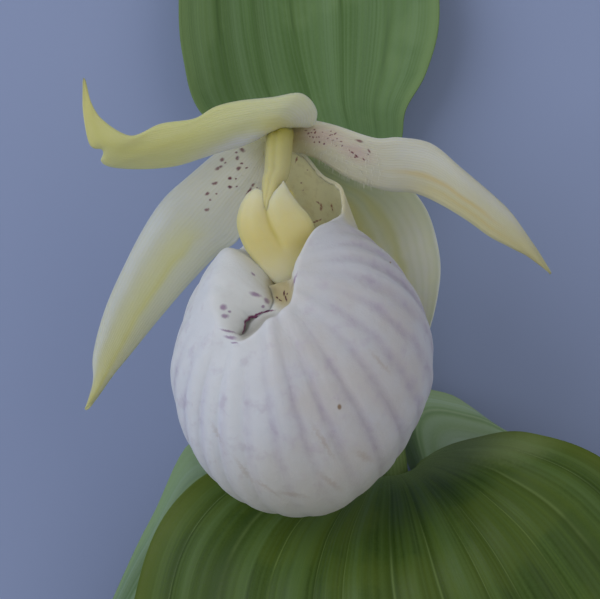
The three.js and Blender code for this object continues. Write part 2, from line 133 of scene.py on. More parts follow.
# %% Skins
def new_skin(name):
    """A new material, and what its masks read: guide millimetres, and the place on the blade."""
    material = bpy.data.materials.new(name)
    material.use_nodes = True
    tree = material.node_tree
    tree.nodes.clear()
    source = add_node(tree, "ShaderNodeTexCoord")
    place = add_node(tree, "ShaderNodeVectorMath", {"operation": "MULTIPLY_ADD"}, {
        0: source.outputs["Object"], 1: (1 / MM, 1 / MM, 1 / MM), 2: ORIGIN})
    guide = add_node(tree, "ShaderNodeSeparateXYZ", inputs={"Vector": place})
    blade = add_node(tree, "ShaderNodeSeparateXYZ", inputs={"Vector": source.outputs["UV"]})
    return types.SimpleNamespace(
        material=material, tree=tree, place=place, uv=source.outputs["UV"],
        x=guide.outputs["X"], y=guide.outputs["Y"], z=guide.outputs["Z"],
        across=blade.outputs["X"], along=blade.outputs["Y"])


# %% Coats
def overlap(tree, masks):
    """Masks multiplied. A mask is a number, a node, a socket, or a soft step of a value, which is
    (value, start, end) from 0 to 1, or (value, start, end, low, high)."""
    amount = None
    for mask in masks:
        if isinstance(mask, tuple):
            value, start, end, low, high = mask if len(mask) == 5 else (*mask, 0, 1)
            mask = add_node(tree, "ShaderNodeMapRange", {"interpolation_type": "SMOOTHSTEP"}, {
                "Value": value, "From Min": start, "From Max": end, "To Min": low, "To Max": high})
        amount = mask if amount is None else add_node(
            tree, "ShaderNodeMath", {"operation": "MULTIPLY"}, {0: amount, 1: mask})
    return amount


def add_up(tree, start, *terms):
    """`start` plus several values, each given as (value, weight)."""
    for value, weight in terms:
        start = add_node(tree, "ShaderNodeMath", {"operation": "MULTIPLY_ADD"}, {
            0: value, 1: weight, 2: start})
    return start


def paint(tree, base, coats):
    """Lays coats over a base, one after another. A coat is its colour and then its masks."""
    for code, *masks in coats:
        base = add_node(tree, "ShaderNodeMix", {"data_type": "RGBA"}, {
            "Factor": overlap(tree, masks), "A": base, "B": colour(code)})
    return base


# %% Relief and shader
def close_skin(skin, shader_inputs, height=None, relief=0.0, strength=0.0):
    """Adds the relief, in millimetres, the shader and the output, and gives the material back."""
    if height is not None:
        shader_inputs["Normal"] = add_node(skin.tree, "ShaderNodeBump", inputs={
            "Height": height, "Distance": relief * MM, "Strength": strength})
    shader = add_node(skin.tree, "ShaderNodeBsdfPrincipled", inputs=shader_inputs)
    add_node(skin.tree, "ShaderNodeOutputMaterial", inputs={"Surface": shader})
    print(f"{skin.material.name}: {len(skin.tree.nodes)} nodes")
    return skin.material


# %% [markdown]
# ## The table
#
# `painted_board` is a table top under matt emulsion paint, put on with a roller. Such paint has no
# gloss, so the shadows on it are soft and it mirrors nothing of the plant. The table is only the
# stage, so a plane is enough.

# %% Table
TABLE_SIZE = 3.0
TABLE_COLOUR = "#9fadd0"

bpy.ops.object.select_all(action="DESELECT")
bpy.ops.mesh.primitive_plane_add(size=TABLE_SIZE, location=(0, 0, 0))
table = bpy.context.object
table.name = "table"
table.data.materials.append(close_skin(new_skin("painted_board"), {
    "Base Color": colour(TABLE_COLOUR), "Roughness": 0.9, "Specular IOR Level": 0.1}))

# %% [markdown]
# ## The light
#
# One broad lamp stands at the upper left, as a north window would, and a weak one and the room's
# own light fill the shadows. A sun or a point lamp would cut hard shadows into the petals, so both
# lamps are wide areas.

# %% Light
LAMPS = [
    {"name": "window", "at": (-540, 240, 560), "size": 700, "power": 2.65, "tint": "#f2f5ff"},
    {"name": "fill", "at": (460, 200, 560), "size": 600, "power": 0.7, "tint": "#fff7ee"},
]
LAMP_AIM = (0, 0, 30)
ROOM_LIGHT = 0.36

for lamp in LAMPS:
    bpy.ops.object.light_add(type="AREA", location=in_frame(lamp["at"]))
    made = bpy.context.object
    made.name = lamp["name"]
    made.data.size = lamp["size"] * MM
    made.data.energy = lamp["power"]
    made.data.color = colour(lamp["tint"])[:3]
    aim = in_frame(LAMP_AIM) - made.location
    made.rotation_euler = aim.to_track_quat("-Z", "Y").to_euler()
room = bpy.data.worlds.new("room")
bpy.context.scene.world = room
room.use_nodes = True
background = room.node_tree.nodes["Background"]
background.inputs["Color"].default_value = colour("#e9edf5")
background.inputs["Strength"].default_value = ROOM_LIGHT
bpy.context.scene.view_settings.view_transform = "Standard"
print("lamps:", [lamp["name"] for lamp in LAMPS])

# %% [markdown]
# ## Curves
#
# A leaf, a sepal and a petal are all the same thing: a thin blade between two margins. Three
# curves describe it, its left margin, its midrib and its right margin, and every cross-section is
# the circular arc through the three. Blender can't loft such curves, so two functions find the
# points: one on a smooth curve through guide points, and one on an arc.


# %% Curves
def spline_point(points, t, closed=False):
    """The point at t (0 to 1) on the smooth curve through the points, evenly timed."""
    count = len(points)
    place = t * (count if closed else count - 1)
    i = min(int(place), count - 1 if closed else count - 2)
    w = place - i

    def guide(k):
        if closed:
            return Vector(points[k % count])
        if k < 0:
            return 2 * Vector(points[0]) - Vector(points[1])
        if k >= count:
            return 2 * Vector(points[-1]) - Vector(points[-2])
        return Vector(points[k])

    before, start, end, after = (guide(i + k) for k in (-1, 0, 1, 2))
    lead_in = (end - before) / 2
    lead_out = (after - start) / 2
    return (start + w * lead_in + w ** 2 * (3 * (end - start) - 2 * lead_in - lead_out)
            + w ** 3 * (2 * (start - end) + lead_in + lead_out))


def arc_point(left, mid, right, u):
    """The point at u (-1 to 1) on the circular arc from left through mid to right."""
    to_left = left - mid
    to_right = right - mid
    axis = to_left.cross(to_right)
    if axis.length < 1e-3 * to_left.length * to_right.length + 1e-9:
        return mid + (to_left if u < 0 else to_right) * abs(u)
    to_centre = (to_right * to_left.length_squared - to_left * to_right.length_squared).cross(axis)
    to_centre /= 2 * axis.length_squared
    chord = to_right - to_left
    sweep = 2 * (to_right.angle(chord) if u < 0 else (-to_left).angle(chord))
    return mid + to_centre - Matrix.Rotation(-u * sweep, 3, axis.normalized()) @ to_centre


def smoothstep(value, start, end):
    x = min(max((value - start) / (end - start), 0), 1)
    return x * x * (3 - 2 * x)


halfway = arc_point(Vector((-1, 0, 0)), Vector((0, 0, 1)), Vector((1, 0, 0)), 0.5)
print("halfway up a round arch:", [round(c, 2) for c in halfway])

# %% [markdown]
# ## The shape of a blade
#
# Pulling such a blade's faces into place by hand would leave its pleats uneven, so its shape is a
# function of u, across, and v, from base to tip. Folds and waves are a height that is added along
# the surface's normal. Where a blade would sink into the table, it bends softly and lies on it.

# %% Blade shape
# The step in u and v over which the slope of a surface is measured.
BLADE_STEP = 0.004
# How far above and below its height the bend on to the table reaches, in millimetres.
TABLE_BEND = 0.6


def lie_on_table(height, z):
    """Keeps the middle of a blade at or above `height`, with a soft bend."""
    if z <= height - TABLE_BEND:
        return height
    if z >= height + TABLE_BEND:
        return z
    return height + (z - height + TABLE_BEND) ** 2 / (4 * TABLE_BEND)


def blade_surface(guides, relief, height=None):
    """A function from (u, v) to a point: u is -1 to 1 across, v is 0 to 1 from base to tip."""
    @functools.lru_cache(maxsize=None)
    def section(v):
        return tuple(spline_point(guides[side], v) for side in ("left", "mid", "right"))

    def plain(u, v):
        return arc_point(*section(min(max(v, 0), 1)), min(max(u, -1), 1))

    def surface(u, v):
        across = plain(u + BLADE_STEP, v) - plain(u - BLADE_STEP, v)
        along = plain(u, v + BLADE_STEP) - plain(u, v - BLADE_STEP)
        point = plain(u, v) + across.cross(along).normalized() * relief(u, v)
        if height is not None:
            point.z = lie_on_table(height, point.z)
        return point

    return surface


print("a point 1 mm under the table comes to", lie_on_table(0.45, -1.0), "mm")

# %% [markdown]
# ## From a grid to a blade
#
# A grid is the primitive that fits a blade: each of its vertices is put where the shape's function
# says. Its own UV map then runs across the blade (U) and from base to tip (V), as the veins do. A
# real margin is thinner than the middle, so Solidify gives the sheet its thickness, and a vertex
# group thins it at the margins. Last, each piece takes the place of its CAD node, which is hidden.


# %% Blade mesh
def add_grid(name, columns, rows, surface, *materials):
    """A grid with each vertex put where surface(u, v) says, painted with the first material."""
    bpy.ops.object.select_all(action="DESELECT")
    bpy.ops.mesh.primitive_grid_add(x_subdivisions=columns, y_subdivisions=rows, size=2)
    piece = bpy.context.object
    piece.name = piece.data.name = name
    for material in materials:
        piece.data.materials.append(material)
    for vertex in piece.data.vertices:
        vertex.co = in_frame(surface(vertex.co.x, (vertex.co.y + 1) / 2))
    return piece


# %% Thickness
# How much of a blade its thin margin takes, and how much of the thickness is left there.
THIN_MARGIN = 0.09
MARGIN_SHARE = 0.33


def thin_at_margins(x, y):
    """How thick a blade is at (x, y) of its UV map, from 0 at its margins and its tip to 1."""
    return smoothstep(min(x, 1 - x, 1 - y), 0.0, THIN_MARGIN)


shares = [round(thin_at_margins(x, 0.5), 2) for x in (0.02, 0.05, 0.09)]
print("how thick a blade is 2%, 5% and 9% in from its margin:", shares)


# %% Solidify
def give_thickness(piece, thickness, share=thin_at_margins, inner_slot=0):
    """Gives a sheet its thickness, which thins out to a third where share(x, y) is 0."""
    group = piece.vertex_groups.new(name="thickness")
    places = piece.data.uv_layers.active.data
    for loop in piece.data.loops:
        group.add([loop.vertex_index], share(*places[loop.index].uv), "REPLACE")
    solidify = piece.modifiers.new("thickness", "SOLIDIFY")
    solidify.thickness = thickness * MM
    solidify.offset = 0
    solidify.use_quality_normals = True
    solidify.vertex_group = group.name
    solidify.thickness_vertex_group = MARGIN_SHARE
    solidify.material_offset = inner_slot
    bpy.ops.object.modifier_apply(modifier=solidify.name)
    piece.vertex_groups.clear()
    bpy.ops.object.shade_smooth()


# %% Hand over a piece
def finish_piece(piece, nodes, slot):
    """Hides the CAD nodes that a piece stands in for, and hangs the piece on the body."""
    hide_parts(*nodes)
    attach(piece, BODY)
    triangles = sum(len(face.vertices) - 2 for face in piece.data.polygons)
    painted = [sum(face.material_index == i for face in piece.data.polygons)
               for i in range(len(piece.data.materials))]
    print(f"{piece.name}: {triangles} triangles, faces by material {painted}")


# %% [markdown]
# ## Spots and veins
#
# Spots are pigment in the skin, so they are colour and not form. Each is an ellipse with a soft
# edge, placed in millimetres where a flower of this kind carries it, and a little noise bends
# its outline. Veins follow the blade, so they are stripes in U. Both are masks for coats.

# %% Spots
# A mark's half size along Z, so large that a mark reaches through every height.
ANY_HEIGHT = 1e4


def spots(tree, place, marks, softness, wobble):
    """A mask that is 1 on each mark: (x, y, half length, half width, turn in degrees). `softness` is
    how far its edge fades, as a share of its size, and `wobble` how far the noise moves its outline,
    in millimetres."""
    noise = add_node(tree, "ShaderNodeTexNoise", inputs={"Vector": place, "Scale": 1.6, "Detail": 2})
    shift = add_node(tree, "ShaderNodeVectorMath", {"operation": "MULTIPLY_ADD"}, {
        0: noise.outputs["Color"], 1: (wobble, wobble, 0), 2: (-wobble / 2, -wobble / 2, 0),
    })
    bent = add_node(tree, "ShaderNodeVectorMath", {"operation": "ADD"}, {0: place, 1: shift})
    mask = None
    for x, y, half_length, half_width, turn in marks:
        local = add_node(tree, "ShaderNodeMapping", {"vector_type": "TEXTURE"}, {
            "Vector": bent, "Location": (x, y, 0), "Rotation": (0, 0, math.radians(turn)),
            "Scale": (half_length, half_width, ANY_HEIGHT),
        })
        reach = add_node(tree, "ShaderNodeVectorMath", {"operation": "LENGTH"}, {0: local})
        inside = add_node(tree, "ShaderNodeMapRange", {"interpolation_type": "SMOOTHSTEP"}, {
            "Value": reach.outputs["Value"], "From Min": 1 + softness, "From Max": 1 - softness,
            "To Min": 0.0, "To Max": 1.0,
        })
        mask = inside if mask is None else add_node(
            tree, "ShaderNodeMath", {"operation": "MAXIMUM"}, {0: mask, 1: inside})
    return mask


# %% Veins
def stripes(tree, across, count, sharpness, wander=None):
    """A mask of `count` lines across a blade, thinner as sharpness grows."""
    turns = add_node(tree, "ShaderNodeMath", {"operation": "MULTIPLY"}, {
        0: across, 1: math.pi * count})
    if wander is not None:
        turns = add_node(tree, "ShaderNodeMath", {"operation": "ADD"}, {0: turns, 1: wander})
    wave = add_node(tree, "ShaderNodeMath", {"operation": "COSINE"}, {0: turns})
    size = add_node(tree, "ShaderNodeMath", {"operation": "ABSOLUTE"}, {0: wave})
    return add_node(tree, "ShaderNodeMath", {"operation": "POWER"}, {0: size, 1: sharpness})


# %% [markdown]
# ## Leaf skin
#
# A slipper orchid's leaf grows folded like a fan: its main veins are the folds, and finer veins
# run between them. Its skin gives off a thin coat of wax, so it is matt and a deep green. Grey-green
# on some panels between the folds is a painted sheen, and the dark beside each fold is painted
# shade. The folds are real form. The veins, the painted sheen and the painted shade are coats,
# with a relief of less than a tenth of a millimetre.


# %% Leaf skin
def leaf_skin(name, finish):
    """Waxy leaf skin: the eye sees long soft streaks along the veins, and a pale line on each fold."""
    skin = new_skin(name)
    tree, across = skin.tree, skin.across
    folds, fine_veins = finish["folds"], finish["fine_veins"]
    # Patches per millimetre: clouds 20 mm wide, and cells, drawn 0.5 mm wide so that they show.
    cloud, cells = [add_node(tree, "ShaderNodeTexNoise", inputs={
        "Vector": skin.place, "Scale": scale, "Detail": detail})
        for scale, detail in ((0.05, 4), (2.2, 3))]
    # The same noise drawn out along the veins: broad panels between folds, and fine threads.
    drawn_out = []
    for patches_across, patches_along, detail in ((folds * 2.3, 0.9, 2), (fine_veins * 1.8, 1.6, 3)):
        stretched = add_node(tree, "ShaderNodeVectorMath", {"operation": "MULTIPLY"}, {
            0: skin.uv, 1: (patches_across, patches_along, 1)})
        drawn_out.append(add_node(tree, "ShaderNodeTexNoise", inputs={
            "Vector": stretched, "Scale": 1.0, "Detail": detail}))
    panels, threads = drawn_out
    panel_tone = add_node(tree, "ShaderNodeMapRange", inputs={
        "Value": panels, "From Min": 0.34, "From Max": 0.66, "To Min": 0.0, "To Max": 0.6})
    tone = add_up(tree, panel_tone, (cloud, 0.7), (threads, 1.3), (cells, 0.5))
    tone = add_node(tree, "ShaderNodeMath", {"operation": "SUBTRACT", "use_clamp": True}, {
        0: tone, 1: 1.05})
    between_folds = add_node(tree, "ShaderNodeMath", {"operation": "SUBTRACT"}, {
        0: 1.0, 1: stripes(tree, across, folds, 1.6)})
    creases = overlap(tree, [stripes(tree, across, folds, finish["crease_width"]),
                             (cloud, 0.4, 0.6, 0.1, 0.55)])
    from_midrib = add_node(tree, "ShaderNodeMath", {"operation": "MULTIPLY_ADD"}, {
        0: across, 1: 2.0, 2: -1.0})
    from_midrib = add_node(tree, "ShaderNodeMath", {"operation": "ABSOLUTE"}, {0: from_midrib})
    coats = [
        (finish["light"], tone),
        # Olive clouds, a painted grey-green sheen on panels between the folds, and painted shade beside them.
        (finish["glow"], (cloud, 0.48, 0.6, 0.0, 0.4)),
        (finish["wax_and_sheen"], (panels, 0.42, 0.64, 0.12, finish["sheen_strength"]), between_folds),
        (finish["dark"], stripes(tree, across, folds, 14), (panels, 0.36, 0.6, 0.75, 0.2)),
        # Fine veins, a thin patchy line along each fold, the thin margin and the sheath round the stem.
        (finish["wax_and_sheen"], stripes(tree, across, fine_veins, 2), 0.2),
        (finish["crease"], creases),
        (finish["glow"], (from_midrib, 0.87, 1.0, 0.0, 0.7)),
        (finish["wax_and_sheen"], (skin.along, 0.36, 0.1, 0.0, 0.6)),
    ]
    # The front leaf's sage patches near its base are painted light, a whitish-green sheen.
    if "painted_light_patch" in finish:
        coats.append(("#8c9d66", spots(tree, skin.place, finish["painted_light_patch"], 0.8, 1.5), 0.65))
    rough = add_node(tree, "ShaderNodeMapRange", inputs={
        "Value": cells, "From Min": 0.3, "From Max": 0.7, "To Min": 0.42, "To Max": 0.56})
    return close_skin(skin, {
        "Base Color": paint(tree, colour(finish["dark"]), coats), "Roughness": rough, "IOR": 1.42,
        "Specular IOR Level": 0.3,
    }, add_up(tree, creases, (threads, 1.6), (cells, 0.4)), relief=0.07, strength=0.8)


# %% [markdown]
# ## Leaf folds
#
# No two panels of a leaf are equally wide, so a small function moves the folds a little, and the
# skin's stripes use the same one to stay on them. A fold is a crease more than a wave. It fades
# where the leaf wraps the stem and towards the tip, and the margin swings in a slow wave.


# %% Leaf folds
def uneven(x):
    """Moves the folds a little, so that no two panels are equally wide. 0 and 1 stay put."""
    return x + 0.016 * math.sin(6 * math.pi * x) + 0.008 * math.sin(14 * math.pi * x + math.pi)


def pleats(count, depth, waviness):
    """Creased folds of a fan that fade in the sheath and at the tip, and a slow wave of the margin."""
    def relief(u, v):
        phase = count * uneven((u + 1) / 2) % 1
        crease = 4 * abs(phase - 0.5) - 1
        fold = 0.8 * crease + 0.2 * math.cos(2 * math.pi * phase)
        blade_only = smoothstep(v, 0.3, 0.52) * (1 - smoothstep(v, 0.72, 0.98))
        wave = waviness * math.sin(17 * v + 2 * u) * u * u * blade_only
        return depth * fold * (1 - u ** 6) * blade_only + wave
    return relief


furthest = max(abs(uneven(i / 99) - i / 99) for i in range(100))
print("folds move by up to", round(furthest, 3), "of the width")

# %% [markdown]
# ## Where the leaves lie
#
# Each leaf starts as a sheath on the stem, leaves it, arches over and ends in a point. Three rows
# of guide points give that: the more a leaf turns, the closer they stand. They are the CAD model's
# own guides, so the fine leaf lies where its solid does.

# %% Leaf guides
LEAVES = {
    "leaf_front": {
        "left": [(17.3, -58, 2.1), (16.1, -44, 2.2), (13.8, -31.5, 3), (7.5, -28, 11), (-4, -26.5, 22),
                 (-17.5, -30.5, 28.2), (-26.5, -45, 30.7), (-30, -76, 29.5), (-19, -101, 22), (3, -122, 12),
                 (28, -134, 4.5), (41.4, -137, 0.6)],
        "mid": [(18.9, -58, 8.3), (17.8, -44, 8.4), (16.7, -33, 9), (16.2, -30.5, 15), (17, -32.5, 27),
                (18, -39, 38), (20, -50, 44.5), (26, -70, 45), (32, -92, 38), (37.5, -112, 24),
                (41, -128, 8.5), (42, -137.3, 0.6)],
        "right": [(20.6, -58, 2.1), (19.5, -44, 2.2), (19.6, -31.5, 3), (22.6, -26.8, 12), (29, -23.2, 27),
                  (38, -22, 35), (52, -28, 36), (68, -47, 32), (72, -73, 25), (66, -99, 14),
                  (54, -122, 5), (42.6, -137, 0.6)],
    },
    "leaf_right": {
        "left": [(18.3, -86, 6.4), (17.6, -76, 6.5), (18.3, -68, 8.2), (25, -58, 7.5), (24.3, -42, 4.2),
                 (15, -18, 1.3), (25, -16.5, 4), (36, -23.2, 6), (58, -32, 7), (80, -43, 6.5),
                 (98, -58, 4), (113.2, -78.6, 0.4)],
        "mid": [(24.5, -86, 4.7), (23.8, -76, 4.8), (23.3, -68, 5), (28, -60, 6), (33, -50, 8.5),
                (38, -44, 10.5), (46, -43.5, 12), (58, -46, 12.3), (74, -52.5, 10.5), (90, -61, 6),
                (104, -71, 2), (113.4, -79, 0.4)],
        "right": [(18.3, -86, 3.1), (17.6, -76, 3.1), (17.9, -68, 1.9), (26, -66, 2.2), (35, -69, 2),
                  (43, -71, 2), (52, -73, 1.5), (64, -76, 0), (77, -79, -1), (90, -81, -1.5),
                  (102, -81, -1), (113, -79.4, 0.4)],
    },
    "leaf_left": {
        "left": [(26.1, -108, 6), (25.2, -98, 6.2), (23.9, -88.5, 8.4), (17, -74, 13.5), (4, -46, 17),
                 (-15.5, -23.5, 18), (-26, -38, 16), (-36, -60, 12), (-47, -82, 7), (-57, -106, 3),
                 (-60.3, -126, 0.4)],
        "mid": [(19.9, -108, 4.3), (19, -98, 4.5), (17.8, -88, 5), (12.5, -80, 8), (3, -73, 12),
                (-10, -67, 16), (-24, -74, 15.5), (-36, -88, 11), (-47, -104, 5.5), (-56, -118, 1.5),
                (-60.1, -126.5, 0.4)],
        "right": [(26.1, -108, 2.7), (25.2, -98, 2.9), (23.6, -88.4, 1.7), (15.5, -87, 2.4), (4, -89, 2.5),
                  (-6, -93, 1.5), (-16, -101, -0.5), (-27, -111, -1.5), (-39, -120, -1.5),
                  (-52, -126, -0.5), (-59.7, -127, 0.4)],
    },
    "bract": {
        "left": [(5.6, 13, 6), (3.5, 18.5, 6.5), (-7.5, 25, 7.5), (-17.3, 32.6, 9), (-20.2, 42, 9.5),
                 (-21.1, 52.5, 9), (-20.5, 65, 7), (-18.5, 79, 4), (-15.5, 93, 1), (-12.5, 106, 0),
                 (-9.1, 118, 0.4)],
        "mid": [(8.7, 12.6, 1.9), (7, 19.5, 1.3), (4.5, 27, 1.4), (1.8, 35, 2), (-0.6, 44, 2.4),
                (-2.2, 55, 2.4), (-3.5, 68, 1.6), (-4.8, 82, 0.2), (-6, 96, -1), (-7.3, 108, -0.8),
                (-8.5, 118.4, 0.4)],
        "right": [(11.8, 13, 6), (13.2, 19, 6.5), (17.4, 27, 8), (18.4, 33, 9), (22, 39.5, 9.5),
                  (24, 49, 10), (22.5, 63, 8), (16.5, 79, 4.5), (8.5, 94, 1), (0, 107, 0),
                  (-7.9, 118, 0.4)],
    },
}
print("guide points:", {name: len(guides["mid"]) for name, guides in LEAVES.items()})

# %% [markdown]
# ## Grow the leaves
#
# One young front leaf is a deep green. The two older ones behind it are painted paler than their
# own green, most of all the right one, as painted light that makes up for the lip's shade over it.
# The bract is a small leaf with few folds, whose veins are darker than the skin between them.

# %% Grow the leaves
LEAF_THICKNESS = 0.5
# The middle of a blade lies this high on the table, as in the CAD model, whose leaves are 0.9 mm thick.
TABLE_GAP = 0.45
# Each leaf's grey-green colours its fine veins and sheath, and is painted on panels between its folds as a
# sheen, up to the given strength.
LEAF_FINISH = {
    "leaf_front": {"columns": 200, "rows": 120, "folds": 13, "depth": 0.45, "fine_veins": 80,
                   "dark": "#30470b", "light": "#577028", "wax_and_sheen": "#5b7540", "crease": "#7a9050",
                   "glow": "#5f7020", "crease_width": 400, "sheen_strength": 0.55, "slot": "leaf",
                   # Sage patches near the base, painted light: a whitish-green sheen.
                   "painted_light_patch": [(21.5, -25.5, 10, 3.6, 12), (30, -24.5, 9, 2.4, 4)]},
    # The right leaf is painted pale: painted light where the lip shades it.
    "leaf_right": {"columns": 130, "rows": 84, "folds": 8, "depth": 0.3, "fine_veins": 48,
                   "dark": "#7a9a68", "light": "#a3be94", "wax_and_sheen": "#b4cab9", "crease": "#a9bf92",
                   "glow": "#a0b88c", "crease_width": 200, "sheen_strength": 0.5, "slot": "leaf"},
    "leaf_left": {"columns": 130, "rows": 90, "folds": 8, "depth": 0.3, "fine_veins": 48,
                  "dark": "#5e7c50", "light": "#839e74", "wax_and_sheen": "#8da692", "crease": "#9bb488",
                  "glow": "#8eaa7c", "crease_width": 200, "sheen_strength": 0.5, "slot": "leaf"},
    "bract": {"columns": 130, "rows": 100, "folds": 6, "depth": 0.22, "fine_veins": 60,
              "dark": "#56763c", "light": "#6f8f56", "wax_and_sheen": "#79966c", "crease": "#3d5c20",
              "glow": "#829e64", "crease_width": 160, "sheen_strength": 0.35, "slot": "bract"},
}

for name, finish in LEAF_FINISH.items():
    folded = pleats(finish["folds"], finish["depth"], waviness=0.35)
    leaf = add_grid(name + "_blade", finish["columns"], finish["rows"],
                    blade_surface(LEAVES[name], folded, TABLE_GAP), leaf_skin(name + "_waxy_skin", finish))
    for loop in leaf.data.uv_layers.active.data:
        loop.uv.x = uneven(loop.uv.x)
    give_thickness(leaf, LEAF_THICKNESS)
    finish_piece(leaf, [name], finish["slot"])

# %% [markdown]
# ## Round stalks
#
# A stalk is a rod whose width changes along a bent curve. A curve object with a bevel would do for
# a round one, but each number of ribs would need a profile curve of its own. So a grid is rolled
# round the curve, its seam is merged, its open ends are filled, and its faces are turned out.


# %% Round stalks
def stalk_surface(points, radii, outline):
    """A function from (u, v) to a point on a rod round the curve. outline(angle) scales its radius."""
    width = [(radius, 0, 0) for radius in radii]

    def surface(u, v):
        centre = spline_point(points, v)
        ahead = spline_point(points, min(v + BLADE_STEP, 1)) - spline_point(points, max(v - BLADE_STEP, 0))
        side = ahead.cross(Vector((0, 0, 1)) if abs(ahead.normalized().z) < 0.9 else Vector((0, 1, 0)))
        side.normalize()
        up = ahead.cross(side).normalized()
        angle = math.pi * u
        reach = spline_point(width, v).x * outline(angle)
        return centre + (side * math.cos(angle) + up * math.sin(angle)) * reach

    return surface


def ribbed(count, depth):
    """The outline of a stalk with ribs, whose depth is a share of the radius."""
    return lambda angle: 1 + depth * math.cos(count * angle)


rib_and_furrow = [round(ribbed(6, 0.06)(angle), 2) for angle in (0, math.pi / 6)]
print("reach of a rib and of a furrow, as shares of the radius:", rib_and_furrow)

# %% Close a sleeve
MERGE_DISTANCE = 0.002 * MM
SMOOTH_BELOW = math.radians(50)


def close_sleeve(piece):
    """Joins a sleeve's seam, closes its open ends and turns its faces out."""
    bpy.ops.object.mode_set(mode="EDIT")
    bpy.ops.mesh.select_mode(type="VERT")
    bpy.ops.mesh.select_all(action="SELECT")
    bpy.ops.mesh.remove_doubles(threshold=MERGE_DISTANCE)
    bpy.ops.mesh.select_all(action="DESELECT")
    bpy.ops.mesh.select_non_manifold()
    bpy.ops.mesh.fill_holes(sides=0)
    bpy.ops.mesh.select_all(action="SELECT")
    bpy.ops.mesh.normals_make_consistent(inside=False)
    bpy.ops.object.mode_set(mode="OBJECT")
    bpy.ops.object.shade_smooth_by_angle(angle=SMOOTH_BELOW)


# %% [markdown]
# ## Stalk skin
#
# A young stalk has a smooth wet-looking skin over green juicy tissue, drawn into faint ridges by
# the strands that carry the sap. Light sinks a little way in, so the ridges are a lighter green
# than the furrows and no edge is hard. Up at the flower the green gives way to cream.


# %% Stalk skin
def stalk_skin(name, dark, light, ridges, pale_above=None):
    """Juicy stalk skin: the eye sees soft lengthwise ridges. It is cream above `pale_above`."""
    skin = new_skin(name)
    tree = skin.tree
    # Clouds 3 mm wide.
    cloud = add_node(tree, "ShaderNodeTexNoise", inputs={"Vector": skin.place, "Scale": 0.3, "Detail": 4})
    tone = add_node(tree, "ShaderNodeMath", {"operation": "MULTIPLY_ADD", "use_clamp": True}, {
        0: stripes(tree, skin.across, ridges, 2), 1: 0.4, 2: cloud})
    coats = [(light, tone)]
    if pale_above:
        coats.append(("#d8d7a4", (skin.z, pale_above - 5, pale_above)))
    return close_skin(skin, {
        "Base Color": paint(tree, colour(dark), coats), "Roughness": 0.5, "IOR": 1.42,
        "Subsurface Weight": 0.1, "Subsurface Radius": (0.6, 1.0, 0.3), "Subsurface Scale": 0.8 * MM,
    }, tone, relief=0.08, strength=0.7)


# %% [markdown]
# ## Hairs
#
# A plant's hair is one long dry cell, and it looks white because its wall scatters the light. Hair
# particles would be lost when the mesh is exported, so one tapered cone is modelled, copied to
# each root, each copy with its own mesh, and joined to its piece. It is drawn thicker than life,
# so that it shows.

# %% Hairs
HAIR_RADIUS = 0.032
# The seed decides where the hairs stand, so that each run gives the same ones.
chance = random.Random(4)

hair_skin = new_skin("white_hair")
shade = add_node(hair_skin.tree, "ShaderNodeTexNoise", inputs={"Vector": hair_skin.place, "Scale": 0.8})
white_hair = close_skin(hair_skin, {
    "Base Color": paint(hair_skin.tree, colour("#d9d8c6"), [("#e6e5d8", shade)]),
    "Roughness": 0.4, "IOR": 1.5})


def add_hairs(piece, roots, length):
    """Copies one tapered hair to each (root, direction) and joins them to the piece."""
    bpy.ops.object.select_all(action="DESELECT")
    bpy.ops.mesh.primitive_cone_add(vertices=4, radius1=HAIR_RADIUS * MM, radius2=HAIR_RADIUS * MM / 3,
                                    depth=MM, location=(0, 0, 0))
    first = bpy.context.object
    first.data.transform(Matrix.Translation((0, 0, 0.5 * MM)))
    first.data.materials.append(white_hair)
    for root, out in roots:
        hair = first.copy()
        hair.data = first.data.copy()
        turn = Vector(out).to_track_quat("Z", "Y").to_matrix().to_4x4()
        size = Matrix.Diagonal((1, 1, length * chance.uniform(0.5, 1.1), 1))
        hair.data.transform(Matrix.Translation(in_frame(root)) @ turn @ size)
        bpy.context.collection.objects.link(hair)
        hair.select_set(True)
    first.select_set(False)
    piece.select_set(True)
    bpy.context.view_layer.objects.active = piece
    bpy.ops.object.join()
    bpy.data.objects.remove(first)
    print(f"{piece.name}: {len(roots)} hairs")


# %% [markdown]
# ## The stem
#
# The stem was cut across with a knife at its lower end, so `cut_pith` shows there: a wet flat cut,
# with pale pith inside a green ring and the ends of the sap strands as darker dots. The cut is the
# one face with many corners that fills the sleeve's lower end, and it gets that material.

# %% Stem
STEM = [(24, -118, 4.2), (21.5, -90, 4.6), (19, -60, 4.9), (16.6, -30, 5.1), (12.3, -6, 5.3), (9, 13.6, 5.2)]
STEM_RADII = [2.5, 2.4, 2.35, 2.3, 2.2, 1.9]

stem_skin = stalk_skin("stem_skin", "#6a8445", "#8aa062", 20)

pith = new_skin("cut_pith")
from_centre = add_node(pith.tree, "ShaderNodeVectorMath", {"operation": "DISTANCE"}, {
    0: pith.place, 1: STEM[0]})
outwards = add_node(pith.tree, "ShaderNodeMath", {"operation": "DIVIDE"}, {
    0: from_centre.outputs["Value"], 1: STEM_RADII[0]})
ring = add_node(pith.tree, "ShaderNodeValToRGB", inputs={"Fac": outwards}, stops=[
    (0, "#d5dcae"), (0.72, "#c8d298"), (0.84, "#8ba564"), (1, "#6d8a46")])
# Sap strands stand 0.4 mm apart.
strands = add_node(pith.tree, "ShaderNodeTexVoronoi", inputs={"Vector": pith.place, "Scale": 2.6})
cut_pith = close_skin(pith, {
    "Base Color": paint(pith.tree, ring, [
        ("#93a86a", (strands.outputs["Distance"], 0.28, 0.16, 0.0, 0.5))]),
    "Roughness": 0.3, "IOR": 1.4})

